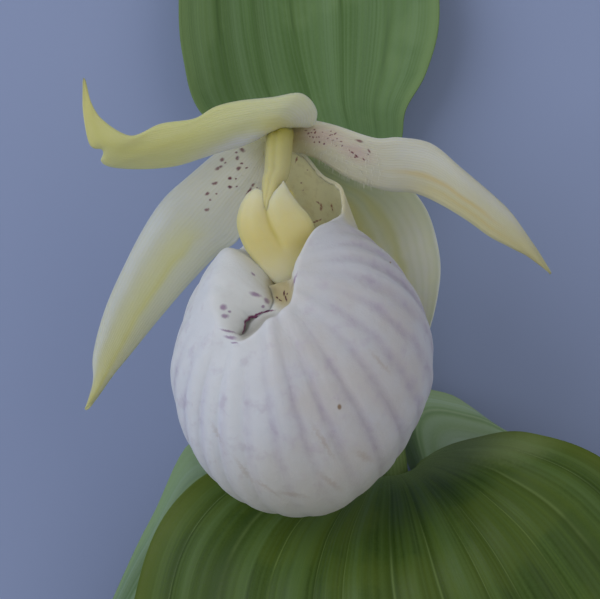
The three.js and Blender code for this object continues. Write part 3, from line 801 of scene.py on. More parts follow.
stem = add_grid("stem_stalk", 40, 90, stalk_surface(STEM, STEM_RADII, ribbed(10, 0.012)),
                stem_skin, cut_pith)
close_sleeve(stem)
cut_end = max((face for face in stem.data.polygons if len(face.vertices) > 4),
              key=lambda face: -face.center.y)
cut_end.material_index = 1
cut_end.use_smooth = False
finish_piece(stem, ["stem"], "stem")

# %% [markdown]
# ## The ovary
#
# The ovary is the flower's own stalk, which later becomes the seed pod. It grows out of the stem's
# end and arches up to the back of the flower. Six ribs run along it, where the seed pod will open,
# and short hairs stand on it. A ball at its top, the receptacle, carries the flower's parts.

# %% Ovary
OVARY = [(10.2, 9.5, 5.3), (8.8, 14.6, 6), (8.2, 19, 10), (6.5, 23.2, 16), (3.2, 26, 24), (-0.6, 27.2, 31),
         (-3, 27, 36.6)]
OVARY_RADII = [1.5, 2.3, 2.5, 2.8, 2.7, 2.4, 2]
RECEPTACLE = (-3, 27, 36.5)
RECEPTACLE_RADIUS = 2.9
OVARY_HAIRS = 320
OVARY_HAIR_LENGTH = 0.8

ovary_surface = stalk_surface(OVARY, OVARY_RADII, ribbed(6, 0.06))
ovary_skin = stalk_skin("ovary_skin", "#7f9552", "#a7b277", 12, pale_above=37)
ovary = add_grid("ovary_stalk", 72, 60, ovary_surface, ovary_skin)
close_sleeve(ovary)
bpy.ops.object.select_all(action="DESELECT")
bpy.ops.mesh.primitive_uv_sphere_add(segments=40, ring_count=24, radius=RECEPTACLE_RADIUS * MM,
                                     location=in_frame(RECEPTACLE))
receptacle = bpy.context.object
receptacle.data.materials.append(ovary_skin)
bpy.ops.object.transform_apply(location=True, rotation=True, scale=True)
bpy.ops.object.shade_smooth()
ovary.select_set(True)
bpy.context.view_layer.objects.active = ovary
bpy.ops.object.join()
roots = []
for i in range(OVARY_HAIRS):
    u, v = chance.uniform(-1, 1), chance.uniform(0.22, 0.92)
    out = ovary_surface(u, v) - spline_point(OVARY, v)
    roots.append((ovary_surface(u, v), out))
add_hairs(ovary, roots, OVARY_HAIR_LENGTH)
finish_piece(ovary, ["ovary"], "stem")

# %% [markdown]
# ## Petal skin
#
# Three sepals and two side petals stand round the lip. Their tissue is thin, pale and full of
# water, so light sinks a little way in before it comes out, and edges and folds stay soft. The
# ground colour runs from base to tip. Bands of yellow follow the veins and run out softly, fine
# lines mark the veins, and purple pigment lies in spots near the base.

# %% Petal skin
# How much of the way from base to tip a band takes to fade at each end.
BAND_FADE = 0.18


def petal_skin(look):
    """Thin petal skin: the eye sees soft yellow bands under a matt pale skin with fine veins.
    A band is (u, half width, from v, to v, colour, strength)."""
    skin = new_skin(look["skin"])
    tree, place, across, along = skin.tree, skin.place, skin.across, skin.along
    # Patches per millimetre: clouds 5 mm wide, and cells, drawn 0.3 mm wide so that they show.
    cloud, cells = [add_node(tree, "ShaderNodeTexNoise", inputs={
        "Vector": place, "Scale": scale, "Detail": detail}) for scale, detail in ((0.22, 3), (3.0, 2))]
    ragged = add_node(tree, "ShaderNodeMath", {"operation": "MULTIPLY_ADD"}, {0: cloud, 1: 0.1, 2: across})
    coats = []
    for u, half_width, start, end, code, strength in look["bands"]:
        aside = add_node(tree, "ShaderNodeMath", {"operation": "SUBTRACT"}, {0: ragged, 1: u + 0.05})
        aside = add_node(tree, "ShaderNodeMath", {"operation": "ABSOLUTE"}, {0: aside})
        coats.append((code, (aside, half_width, 0.0, 0.0, strength),
                      (along, start, start + BAND_FADE), (along, end, end - BAND_FADE)))
    wander = add_node(tree, "ShaderNodeMath", {"operation": "MULTIPLY"}, {0: cloud, 1: 2.2})
    veins = stripes(tree, across, look["veins"], 3, wander)
    coats.append((look["vein_colour"], veins, 0.16))
    if "blush" in look:
        coats.append((look["blush_colour"], spots(tree, place, look["blush"], 0.9, 1.2),
                      look["blush_strength"]))
    if "marks" in look:
        depth = add_node(tree, "ShaderNodeMapRange", inputs={
            "Value": cloud, "From Min": 0.35, "From Max": 0.65, "To Min": 0.65, "To Max": 1.0})
        coats.append(("#6e2a3c", spots(tree, place, look["marks"], 0.6, 0.45), depth))
    ground = add_node(tree, "ShaderNodeValToRGB", inputs={"Fac": along}, stops=look["ground"])
    height = add_node(tree, "ShaderNodeMath", {"operation": "MULTIPLY_ADD"}, {0: cells, 1: 0.35, 2: veins})
    return close_skin(skin, {
        "Base Color": paint(tree, ground, coats), "Roughness": 0.5, "IOR": 1.4, "Specular IOR Level": 0.3,
        "Subsurface Weight": 0.7, "Subsurface Radius": (1.0, 0.9, 0.6), "Subsurface Scale": 1.0 * MM,
    }, height, relief=0.04, strength=0.5)


# %% [markdown]
# ## Where the sepals and petals lie
#
# The top sepal bends over to one side and ends in a narrow tip. The lower two have grown together
# behind the lip. The side petals are flatter, so their margins are enough, and their midrib stands
# a little above the middle of the two.

# %% Side petals
PETAL_RISE = 0.9


def with_arched_mid(left, right):
    """Adds the midrib of a side petal, which stands a little above the middle of its margins."""
    mid = []
    for i, (a, b) in enumerate(zip(left, right)):
        middle = (Vector(a) + Vector(b)) / 2
        if 0 < i < len(left) - 1:
            middle.z += PETAL_RISE
        mid.append(middle)
    return {"left": left, "mid": mid, "right": right}


PETAL_LEFT = with_arched_mid(
    [(-4, 28.6, 39.3), (-9.6, 26.2, 39.6), (-14.2, 23.6, 39), (-18.2, 20.3, 38.5), (-22.4, 16.4, 38),
     (-25.8, 11.3, 38.5), (-28.8, 5, 39.7), (-31.6, -2, 41.6), (-33.4, -9, 43.6), (-33.4, -13.8, 44.6),
     (-34.7, -17.6, 45)],
    [(-3.8, 24.6, 39.2), (-4.7, 20.8, 40.4), (-5.4, 17, 41), (-8.2, 13, 40.4), (-10.4, 9.4, 40),
     (-13.4, 7.3, 40), (-18.4, 2.1, 40.4), (-23.1, -3.5, 41.4), (-28, -9.8, 42.8), (-32.1, -14.6, 44.4),
     (-34.5, -17.8, 45)],
)
PETAL_RIGHT = with_arched_mid(
    [(-2.6, 29.7, 39.4), (1.3, 29.3, 41.2), (5.6, 28.2, 43.3), (12, 26, 46), (16, 26, 47), (21, 25, 47),
     (25.5, 21.5, 47), (30.5, 17.5, 46), (34, 14, 45), (37.5, 8.8, 43.5), (40.7, 4.3, 42)],
    [(-2.2, 24.4, 39), (2.8, 22.9, 40.6), (7.8, 19.8, 42), (14, 17.5, 43), (18.5, 17, 44), (22.5, 15.4, 45.5),
     (26.5, 13, 46), (30.5, 10.2, 45.5), (34, 8.5, 44.5), (37.4, 6.7, 43.3), (40.6, 4.1, 42)],
)
print("petal midribs:", len(PETAL_LEFT["mid"]), "and", len(PETAL_RIGHT["mid"]), "points")

# %% Sepals
DORSAL_SEPAL = {
    "left": [(-5.2, 28.4, 39.7), (-6, 26.9, 41.6), (-7.4, 25.8, 42.9), (-9.5, 25, 43.8), (-12, 24.3, 44.2),
             (-15.5, 23, 45), (-20, 21.6, 46), (-25.5, 21, 47), (-30.2, 21, 49), (-31.8, 21.9, 50.2),
             (-31.4, 23.7, 51.4), (-33.2, 24.5, 52.3), (-34.1, 29, 52.8), (-34.4, 35.1, 51)],
    "mid": [(-2.9, 29.2, 39.9), (-2, 27.9, 43.2), (-1.6, 28.7, 46), (-3.6, 29.3, 48.5), (-8, 28.6, 49.3),
            (-12.5, 27.5, 49.8), (-16.8, 26.3, 50.2), (-21, 25, 50.6), (-26, 23.9, 51.4),
            (-29.6, 24.2, 52.6), (-32.1, 26.6, 53.3), (-33.6, 30.3, 53), (-34.4, 35.1, 51)],
    "right": [(-0.6, 29, 39.7), (2, 28.2, 42.3), (2.6, 30.6, 45.2), (0.2, 33, 47.8), (-4.5, 32.4, 49),
              (-9.5, 31.8, 49.6), (-13.5, 30.7, 50), (-16.8, 28.8, 50.4), (-22.2, 27.9, 51),
              (-26.9, 25.8, 52.2), (-31.3, 28.4, 53), (-33.3, 31.8, 52.6), (-34.3, 35.2, 51)],
}
SYNSEPAL = {
    "left": [(-5.6, 23.6, 33.6), (-5, 18.5, 31), (-4, 12, 28), (-2.5, 5, 25.6), (0.5, -1.5, 24.4),
             (5, -7.5, 24.2), (9.5, -11.8, 25.4), (13.5, -14, 27), (16, -15.2, 28.8)],
    "mid": [(-2.5, 24, 33.2), (1.5, 19.5, 30.8), (6, 14.5, 28.4), (8.5, 8, 26.4), (10.5, 2, 25.6),
            (12.5, -4.5, 25.6), (14, -9.5, 26.2), (15.6, -12.6, 28), (16.4, -14.9, 29)],
    "right": [(0.6, 24, 33.8), (8, 21.5, 33.6), (16.5, 19.5, 33), (21, 15, 33), (23, 7.5, 33),
              (22.8, 1, 32.2), (21, -6, 31), (18.2, -11.5, 30), (16.9, -14.5, 29.3)],
}
print("sepal midribs:", len(DORSAL_SEPAL["mid"]), "and", len(SYNSEPAL["mid"]), "points")

# %% [markdown]
# ## Purple marks
#
# Insects follow the marks into the lip. On the left petal they are round drops, and on the right
# one dots and short dashes over a faint rosy flush. Noise alone would scatter them evenly, so each
# is listed with its place.

# %% Purple marks
# Each mark is (x, y, half length, half width, turn).
LEFT_PETAL_MARKS = [
    (-9.4, 24.3, 0.45, 0.3, -30), (-10.2, 23, 0.3, 0.28, 0), (-12.7, 22.8, 0.34, 0.28, 20),
    (-13.4, 21.4, 0.42, 0.24, 25), (-12.9, 21.6, 0.24, 0.2, 0), (-10, 21.3, 0.36, 0.26, 30),
    (-9.5, 22.1, 0.2, 0.16, 0), (-8.7, 21.4, 0.18, 0.15, 0), (-11.4, 19.7, 0.26, 0.26, 0),
    (-11.4, 18.3, 0.34, 0.22, 0), (-10.4, 19.6, 0.15, 0.14, 0), (-10.3, 18.4, 0.16, 0.14, 0),
    (-13.9, 18.9, 0.42, 0.26, 20), (-14.1, 18.8, 0.22, 0.2, 0), (-15.1, 17.2, 0.34, 0.24, 30),
    (-13.6, 17.2, 0.16, 0.15, 0), (-14.6, 16.2, 0.18, 0.17, 0), (-15.2, 14.6, 0.34, 0.26, 10),
    (-8.3, 17.6, 0.7, 0.22, 55), (-7.6, 18.6, 0.3, 0.2, 40), (-7, 18, 0.25, 0.14, 60),
    (-12.2, 22.3, 0.16, 0.14, 0), (-10.4, 23.9, 0.2, 0.16, 0),
]
RIGHT_PETAL_MARKS = [
    (1, 27.4, 0.2, 0.1, 20), (1.4, 27, 0.26, 0.12, 40), (1.9, 27, 0.16, 0.1, 0), (2.3, 27.5, 0.18, 0.1, 30),
    (2.5, 27.1, 0.24, 0.11, 60), (1.6, 26.4, 0.13, 0.1, 0), (2.1, 26.3, 0.12, 0.09, 0),
    (2.3, 25.5, 0.16, 0.12, 0), (3.1, 25.5, 0.15, 0.1, 0), (2.7, 26.3, 0.12, 0.08, 0),
    (3.1, 26.3, 0.1, 0.08, 0), (3.9, 25.2, 0.13, 0.1, 0), (4.5, 26, 0.1, 0.08, 0),
    (4.9, 26.6, 0.2, 0.09, 40), (5.2, 26.7, 0.14, 0.1, 0), (5.7, 26.8, 0.22, 0.1, 30),
    (5, 27.2, 0.14, 0.08, 0), (6, 26, 0.14, 0.09, 0), (6.6, 25.5, 0.15, 0.09, 0), (6.8, 24.8, 0.14, 0.1, 0),
    (5.9, 24.8, 0.1, 0.08, 0), (5.4, 25.7, 0.1, 0.07, 0), (3.6, 27.1, 0.1, 0.07, 0),
    (9.5, 25.5, 0.62, 0.19, -15), (8.4, 23.7, 0.22, 0.12, -30), (9.1, 23.1, 0.34, 0.15, -35),
    (8.9, 22.9, 0.14, 0.1, 0), (10.3, 22.6, 0.26, 0.11, -60), (11.1, 23.9, 0.36, 0.15, -50),
    (11, 23.4, 0.12, 0.09, 0), (8, 24.1, 0.12, 0.08, 0),
]
RIGHT_PETAL_BLUSH = [(3.4, 26.4, 3.6, 1.3, -12), (8.8, 23.8, 2.6, 1.1, -25)]
print("marks:", len(LEFT_PETAL_MARKS), "left,", len(RIGHT_PETAL_MARKS), "right")

# %% [markdown]
# ## Colours of the sepals and petals
#
# The top sepal is the yellowest. The joined sepal is green at its base, where the lip shades it,
# and cream below with yellow veins. The petals are cream with a yellow band along the lower half.

# %% Sepal and petal looks
SEPAL_LOOKS = {
    "dorsal_sepal": {
        "guides": DORSAL_SEPAL, "rows": 130, "wave": 0.5, "slot": "sepal", "skin": "dorsal_sepal_skin",
        "ground": [(0, "#eff1e2"), (0.25, "#d9dbb8"), (0.5, "#dbdca2"), (0.8, "#dedc9a"), (1, "#d3cb84")],
        # The three whitish bands at the base and along the lower margin are partly the paler inner face and
        # partly a painted highlight that lightens the shade under the sepal's roll.
        "bands": [(0.5, 0.3, 0.4, 1.05, "#d9d78a", 0.5), (0.1, 0.34, -0.2, 0.5, "#f0f0ea", 0.95),
                  (0.5, 0.6, -0.3, 0.3, "#f1f0ea", 0.8), (0.12, 0.3, -0.3, 0.42, "#eef1f6", 1.0)],
        "veins": 20, "vein_colour": "#d3d48a",
        "blush": [(-3.8, 27.9, 2.6, 1.4, 0), (-3.7, 27.5, 1.7, 1.1, 0)],
        "blush_colour": "#e0da8c", "blush_strength": 0.65},
    "synsepal": {
        "guides": SYNSEPAL, "rows": 90, "wave": 0.4, "slot": "sepal", "skin": "synsepal_skin",
        "ground": [(0, "#b7c695"), (0.2, "#d3dbb9"), (0.45, "#f8f5df"), (0.75, "#ebecdb"), (1, "#e4e4c0")],
        "bands": [(0.6, 0.1, 0.1, 1.1, "#dfdb94", 0.75), (0.74, 0.07, 0.1, 1.1, "#dfdd98", 0.6),
                  (0.98, 0.08, 0.15, 1.1, "#dfe2b4", 0.5)],
        "veins": 18, "vein_colour": "#d3d7a8"},
}
PETAL_LOOKS = {
    "petal_left": {
        "guides": PETAL_LEFT, "rows": 110, "wave": 0.5, "slot": "petal", "skin": "left_petal_skin",
        "ground": [(0, "#dcd8a8"), (0.14, "#dedccc"), (0.4, "#cbcdc2"), (0.7, "#c8caae"),
                   (0.92, "#caca9c"), (1, "#cac78e")],
        "bands": [(0.5, 0.3, 0.34, 1.15, "#d0cf8c", 0.5), (0.6, 0.1, 0.4, 1.1, "#c9c674", 0.5),
                  (0.1, 0.2, 0.3, 1.0, "#d8dee0", 0.6)],
        "veins": 22, "vein_colour": "#cbcba4", "marks": LEFT_PETAL_MARKS},
    "petal_right": {
        "guides": PETAL_RIGHT, "rows": 110, "wave": 0.4, "slot": "petal", "skin": "right_petal_skin",
        "ground": [(0, "#d2ca98"), (0.12, "#d4d0b8"), (0.4, "#d4d3c4"), (0.75, "#d6d4b8"), (1, "#d0ca96")],
        "bands": [(0.85, 0.4, 0.3, 1.15, "#d6cc92", 0.6), (0.6, 0.09, 0.28, 0.8, "#d6bf7a", 0.55),
                  (0.78, 0.07, 0.4, 0.85, "#d6c27c", 0.35), (0.2, 0.26, 0.3, 0.95, "#dadcd8", 0.6)],
        "veins": 22, "vein_colour": "#cec89c", "marks": RIGHT_PETAL_MARKS,
        "blush": RIGHT_PETAL_BLUSH, "blush_colour": "#c2949e", "blush_strength": 0.36},
}
print("skins to paint:", [look["skin"] for look in (*SEPAL_LOOKS.values(), *PETAL_LOOKS.values())])

# %% [markdown]
# ## Grow the sepals and petals
#
# They are blades as the leaves are, with a slow swell and slight waves. The petals carry a beard of
# white hairs near their base, which stand out from the upper side and lean across the petal.

# %% Grow the sepals and petals
PETAL_COLUMNS = 72
PETAL_THICKNESS = 0.5
BEARD_LENGTH = 1.1
# Each beard is how many hairs, their range of u and v, and how far they lean across the petal.
BEARDS = {
    "petal_left": [(60, (-0.5, 0.98), (0.03, 0.24), 0.7)],
    "petal_right": [(110, (-0.5, 0.98), (0.03, 0.3), 0.7), (36, (0.9, 1.0), (0.08, 0.3), 1.6)],
}


def petal_relief(amount):
    """The slow swell and the slight waves of a petal's tissue."""
    def relief(u, v):
        return amount * (0.5 * math.sin(9 * v + 1.5 * u) * u * u + 0.25 * math.sin(21 * v - 3 * u) * u ** 4
                         + 0.04 * math.cos(math.pi * 5 * u) * (1 - v))
    return relief


def beard_roots(surface, beards):
    """Where each hair stands on a petal, and which way it points."""
    roots = []
    for count, u_range, v_range, lean in beards:
        for i in range(count):
            u, v = chance.uniform(*u_range), chance.uniform(*v_range)
            across = surface(u + 0.01, v) - surface(u - 0.01, v)
            along = surface(u, v + 0.01) - surface(u, v - 0.01)
            out = across.cross(along).normalized()
            out = out if out.z > 0 else -out
            roots.append((surface(u, v), out + lean * across.normalized()))
    return roots


for name, look in (SEPAL_LOOKS | PETAL_LOOKS).items():
    surface = blade_surface(look["guides"], petal_relief(look["wave"]))
    petal = add_grid(name + "_blade", PETAL_COLUMNS, look["rows"], surface, petal_skin(look))
    give_thickness(petal, PETAL_THICKNESS)
    if name in BEARDS:
        add_hairs(petal, beard_roots(surface, BEARDS[name]), BEARD_LENGTH)
    finish_piece(petal, [name], look["slot"])

# %% [markdown]
# ## The lip
#
# The lip is a petal blown up like a bladder. Its margin rolls in round the mouth, which is what
# traps the visiting insect. The shape is an egg whose mouth opens forward and up: from the pole
# opposite the mouth the wall runs out to the crest of the mouth (RIM), and from each point of the
# crest the margin turns in to its free edge (FOLD). Faint ribs run from the mouth to the toe.
# A sphere cut open would need its poles moved and its mouth cut by hand, so this too is a grid
# wrapped by a rule. The crest and the free edge have the same number of points, one for one.

# %% Lip guides
LIP_CENTRE = Vector((0.4, -10.4, 46))
LIP_RADII = Vector((20.7, 24.2, 18))
MOUTH_AXIS = Vector((-0.285, 0.595, 0.751))
RIM = [(5.4, 12.4, 50), (2.8, 11, 54), (0.9, 7.7, 57.5), (-0.3, 3.6, 60), (-1.4, -0.8, 61.5),
       (-5.6, -4, 62), (-8.9, -6.6, 61), (-12, -5.5, 60), (-14.5, -0.5, 57), (-14.1, 4.5, 53),
       (-12.1, 7.7, 49.8), (-9.2, 8.1, 46.6), (-7, 13, 41.4), (-5, 19.5, 38.6), (-3.2, 24.6, 37.6),
       (0.4, 23.6, 38.2), (3.5, 20.1, 40.4), (6.6, 17.9, 43.2), (6.9, 13.9, 46)]
FOLD = [(5.4, 11, 47.5), (5, 9, 50.5), (4.2, 5.8, 53), (-0.6, 3.4, 53.6), (-5.4, 1.8, 53.4),
        (-10, -2.4, 55.2), (-10, -6.2, 56.2), (-8.9, -5.3, 57.6), (-7.8, -3, 57), (-3, -3, 55.6),
        (-3.2, -0.4, 53), (-4.6, 5, 49), (-6.3, 12.6, 41.2), (-4.6, 19, 38.8), (-3.1, 24.2, 37.9),
        (0.3, 23.3, 38.5), (3.3, 19.8, 40.7), (6.2, 17.6, 43.5), (6.6, 13.7, 46.3)]
# How late the wall leaves the egg for the crest: the higher, the nearer to the crest.
RIM_REACH = 5
# Each swell is its direction, how far it stands out, and how near it starts (1 is at its middle).
SWELLS = [
    (Vector((-0.758, 0.652, 0)), -0.075, 0.7),
    (Vector((0.62, 0.78, 0)), -0.03, 0.75),
    (Vector((0.743, -0.669, 0)), -0.05, 0.8),
    (Vector((-0.7, -0.71, 0)), 0.012, 0.8),
]
LIP_THICKNESS = 0.6
RIB_COUNT = 26
RIB_DEPTH = 0.62
# The wall takes this share of the rows, and the margin that turns in takes the rest.
BODY_SHARE = 0.74
LIP_COLUMNS = 228
LIP_ROWS = 76
assert len(RIM) == len(FOLD)
print("points round the mouth:", len(RIM))

# %% [markdown]
# ### The lip's rule
#
# The egg is measured as a ball of radius 1, where the way from the pole to the crest is an arc of
# a great circle. Swells make it fuller or flatter on one side, and ribs ride on top. Past the
# crest, a cubic curve turns the margin over and in. Round the small hole at the left it hangs
# straight down inside.


# %% Lip in the egg's measure
def to_egg(point):
    """A point in the egg's own measure, where the egg is a ball of radius 1."""
    offset = point - LIP_CENTRE
    return Vector([offset[i] / LIP_RADII[i] for i in range(3)])


def mouth_angle(point):
    """The angle about the mouth's axis, in degrees."""
    out = MOUTH_AXIS.normalized()
    side = out.cross(Vector((0, 0, 1))).normalized()
    up = out.cross(side)
    return math.degrees(math.atan2(to_egg(point).dot(up), to_egg(point).dot(side)))


@functools.lru_cache(maxsize=None)
def lip_column(t):
    """What the whole column at t shares: crest, free edge and angle about the mouth."""
    crest = spline_point(RIM, t % 1, closed=True)
    return crest, spline_point(FOLD, t % 1, closed=True), mouth_angle(crest)


print("the crest starts at", round(lip_column(0.0)[2]), "degrees about the mouth")


# %% Lip wall
def crest_ribs(t):
    """How far the ribs reach over the crest: most round the hole, less at its right, none at the neck."""
    reach = 0.3 + 0.9 * math.exp(-((t - 0.28) / 0.09) ** 2)
    return reach * smoothstep(t, 0.0, 0.08) * (1 - smoothstep(t, 0.48, 0.6))


def lip_wall(t, s):
    """The outside of the lip at s, from the pole (0) to the crest of the mouth (1)."""
    crest, _, angle = lip_column(t)
    egg_crest = to_egg(crest)
    reach = egg_crest.length - 1
    to_crest = egg_crest.normalized()
    pole = -MOUTH_AXIS.normalized()
    sweep = pole.angle(to_crest)
    direction = (pole * math.sin((1 - s) * sweep) + to_crest * math.sin(s * sweep)) / math.sin(sweep)
    radius = 1 + reach * s ** RIM_REACH
    for towards, amount, start in SWELLS:
        near = max(0, (direction.dot(towards) - start) / (1 - start))
        radius += amount * near * near * (3 - 2 * near) * (1 - s ** 8)
    wander = 0.5 * math.sin(4 * s + math.radians(3 * angle)) + 0.4 * math.sin(math.radians(7 * angle))
    groove = (0.5 - 0.5 * math.cos(math.radians(angle) * RIB_COUNT + wander)) ** 2
    rib = (0.5 - groove) * (0.75 + 0.35 * math.sin(math.radians(5 * angle) + 3 * s))
    rib *= math.sin(math.pi * min(s, 1) ** 1.7) ** 1.2
    rib += crest_ribs(t % 1) * smoothstep(s, 0.55, 0.95) * 0.5 * math.cos(
        math.radians(angle) * RIB_COUNT / 2 + wander)
    point = direction * radius
    return Vector([point[i] * (LIP_RADII[i] + RIB_DEPTH * rib) for i in range(3)]) + LIP_CENTRE


print("the pole of the lip, mm:", [round(c, 1) for c in lip_wall(0.0, 0.0)])


# %% Lip margin
def lip_surface(u, v):
    """u goes once round the mouth, and v from the pole over the crest to the free edge."""
    t = (u + 1) / 2
    if v <= BODY_SHARE:
        return lip_wall(t, v / BODY_SHARE)
    crest, free_edge = lip_wall(t, 1), lip_column(t)[1]
    w = (v - BODY_SHARE) / (1 - BODY_SHARE)
    ragged = 0.09 * math.sin(76 * math.pi * t) + 0.07 * math.sin(114 * math.pi * t + 1)
    free_edge = free_edge + (crest - free_edge).normalized() * ragged
    lead = (crest - lip_wall(t, 0.985)).normalized()
    turn = crest + lead * 0.42 * (crest - free_edge).length
    hangs = smoothstep(t % 1, 0.12, 0.19) * (1 - smoothstep(t % 1, 0.28, 0.35))
    first = crest.lerp(turn, 2 / 3).lerp(crest + lead * 0.2, hangs)
    second = free_edge.lerp(turn, 2 / 3).lerp(Vector((crest.x, crest.y, free_edge.z)), hangs)
    return (crest * (1 - w) ** 3 + first * 3 * w * (1 - w) ** 2 + second * 3 * w ** 2 * (1 - w)
            + free_edge * w ** 3)


highest = max(lip_surface(i / 50 - 1, BODY_SHARE).z for i in range(100))
print("highest point of the crest, mm:", round(highest, 1))

# %% [markdown]
# ### The lip's skin
#
# Outside the lip is white with a breath of lilac, deeper in the grooves between the ribs, and
# cream where it turns into the mouth. Its tissue is thick and watery, so it glows softly like
# porcelain and has only a faint sheen. The free edge by the hole is a thin line of dark purple,
# with a few blotches near it.

# %% Lip marks
LIP_MARKS = [
    (-12, -1.2, 0.5, 0.42, 0), (-11.7, -2.6, 0.55, 0.3, -8), (-11, -1.9, 0.24, 0.2, 0),
    (-7, 0.8, 0.85, 0.3, -18), (-5.2, -0.2, 0.5, 0.34, -48), (-5.8, -1.1, 0.26, 0.2, 0),
    (-11.2, -4.9, 1.2, 0.13, -14), (-10.8, -5.9, 0.9, 0.24, -8), (-10.2, -6.7, 0.6, 0.12, -4),
    (-1.1, 2.4, 1.6, 0.13, 70), (-7.4, 4.0, 0.4, 0.14, -45),
]
FOLD_DASHES = [
    (-2.5, 1.0, 0.45, 0.12, 85), (-2.2, 0.2, 0.5, 0.13, -75), (-3.1, -0.1, 0.3, 0.1, -40),
    (-3.6, 0.3, 0.25, 0.1, -40), (-2.0, 0.9, 0.2, 0.1, 80),
]
LINE_END = [(-6.6, -2.3, 1.1, 0.17, 22), (-5, -1.85, 1.0, 0.15, 8)]
LIP_SPECKS = [(6.1, -16.6, 0.3, 0.4, 0), (14.4, 5.9, 0.16, 0.16, 0)]
LIP_STREAKS = [
    (-8.6, -27, 2.4, 0.28, -52), (-5.2, -29.6, 2.2, 0.24, -35), (-1.4, -30.6, 1.8, 0.3, -8),
    (4.8, -28.6, 1.8, 0.4, -40), (10, -24.5, 1.4, 0.5, -30), (-13, -21, 1.6, 0.3, -62),
    (3.6, -22, 2.6, 0.3, -58), (12.5, -9.8, 1.8, 0.3, -48),
]
print("marks on the lip:", len(LIP_MARKS) + len(FOLD_DASHES) + len(LIP_SPECKS) + len(LIP_STREAKS))

# %% Lip outside
skin = new_skin("lip_skin")
tree, place, along = skin.tree, skin.place, skin.along
# Patches per millimetre: clouds 9 mm wide, mottling 2.5 mm wide, and grain 0.3 mm wide.
cloud, mottle, grain = [add_node(tree, "ShaderNodeTexNoise", inputs={
    "Vector": place, "Scale": scale, "Detail": detail})
    for scale, detail in ((0.11, 4), (0.4, 4), (3.0, 3))]
patchy = add_node(tree, "ShaderNodeMapRange", inputs={
    "Value": mottle, "From Min": 0.35, "From Max": 0.68, "To Min": 0.2, "To Max": 0.5})
wander = add_node(tree, "ShaderNodeMath", {"operation": "MULTIPLY_ADD"}, {0: cloud, 1: 1.6, 2: 0.3})
lilac = overlap(tree, [stripes(tree, skin.across, RIB_COUNT, 5, wander), (along, 0.72, 0.56), patchy])
turned_in = (along, 0.76, 0.79)
base = paint(tree, colour("#dbdbdf"), [
    # Warmer clouds, a painted bluish highlight on the left side, and a rosy mottle.
    ("#d8d4d2", (cloud, 0.36, 0.64)),
    ("#f4f7ff", (skin.x, 0.0, -12.0, 0.0, 0.85)),
    ("#cdc4d0", (mottle, 0.52, 0.72, 0.0, 0.42)),
    # Lilac in the grooves, a creamy toe, and cream over the crest.
    ("#b0a3b8", lilac),
    ("#d8d3c0", (skin.y, -18.0, -34.0, 0.0, 0.75)),
    ("#e9eae2", (along, 0.66, 0.86, 0.0, 0.75)),
    # Brownish streaks at the toe, and purple blotches round the mouth.
    ("#b39c84", spots(tree, place, LIP_STREAKS, 0.9, 1.2), 0.3),
    ("#865a8c", spots(tree, place, LIP_MARKS, 0.6, 0.4), (along, 0.55, 0.7, 0.0, 0.7)),
    # On the margin that turns in: a tan patch, painted grey shade in the hole under the crest, and dark
    # dashes.
    ("#c3b68c", spots(tree, place, [(-2.9, 1.5, 3.3, 2.1, -68)], 0.5, 0.6), turned_in),
    ("#b6b4a9", spots(tree, place, [(-6.7, -4.7, 3.6, 1.6, 38)], 0.4, 0.2),
     (skin.z, 62.6, 61.4), (along, 0.74, 0.755), (skin.z, 56.0, 59.5, 0.45, 1.0)),
    ("#5a2632", spots(tree, place, FOLD_DASHES, 0.5, 0.3), turned_in),
    ("#8d6a3c", spots(tree, place, LIP_SPECKS, 0.5, 0.1), 0.8),
    # The purple line on the free edge by the hole, and its end on the fold.
    ("#7a3460", (along, 0.986, 0.996), spots(tree, place, [(-6.8, -4, 3.6, 3.0, 35)], 0.3, 0.0)),
    ("#7a3460", spots(tree, place, LINE_END, 0.5, 0.5), turned_in),
    # The neck is straw-coloured outside.
    ("#ddd6b2", (skin.z, 49.0, 45.5), (skin.y, 9.5, 14.0)),
])
lip_skin = close_skin(skin, {
    "Base Color": base, "Roughness": 0.45, "IOR": 1.4, "Specular IOR Level": 0.35,
    "Subsurface Weight": 0.85, "Subsurface Radius": (1.0, 0.92, 0.9), "Subsurface Scale": 1.4 * MM,
}, add_up(tree, mottle, (lilac, -1.0), (grain, 0.25)), relief=0.22, strength=0.7)

# %% [markdown]
# ### The lip's lining
#
# Inside, the floor of the pouch is cream and its back wall straw yellow, flecked, with a few dark
# dots that lead the insect out. Light comes through the thin neck from behind, so the light may
# sink deeper there, and the wall glows.

# %% Lip inside
INSIDE_MARKS = [
    (3, 15.9, 0.35, 0.13, -40), (3.5, 15.4, 0.35, 0.13, -70), (3.45, 14.9, 0.3, 0.15, -85),
    (5.2, 15.3, 0.3, 0.11, -70), (5.3, 14.7, 0.2, 0.1, -80), (2.4, 12.8, 0.2, 0.11, 0),
    (2.8, 12.95, 0.25, 0.13, 20), (3.3, 13.1, 0.22, 0.11, 45), (-0.6, 22.9, 0.4, 0.13, 70),
    (0.2, 19.2, 0.15, 0.1, 0), (1.2, 21.2, 0.13, 0.08, 0), (0.5, 18, 0.1, 0.08, 0),
]

skin = new_skin("lip_lining")
tree = skin.tree
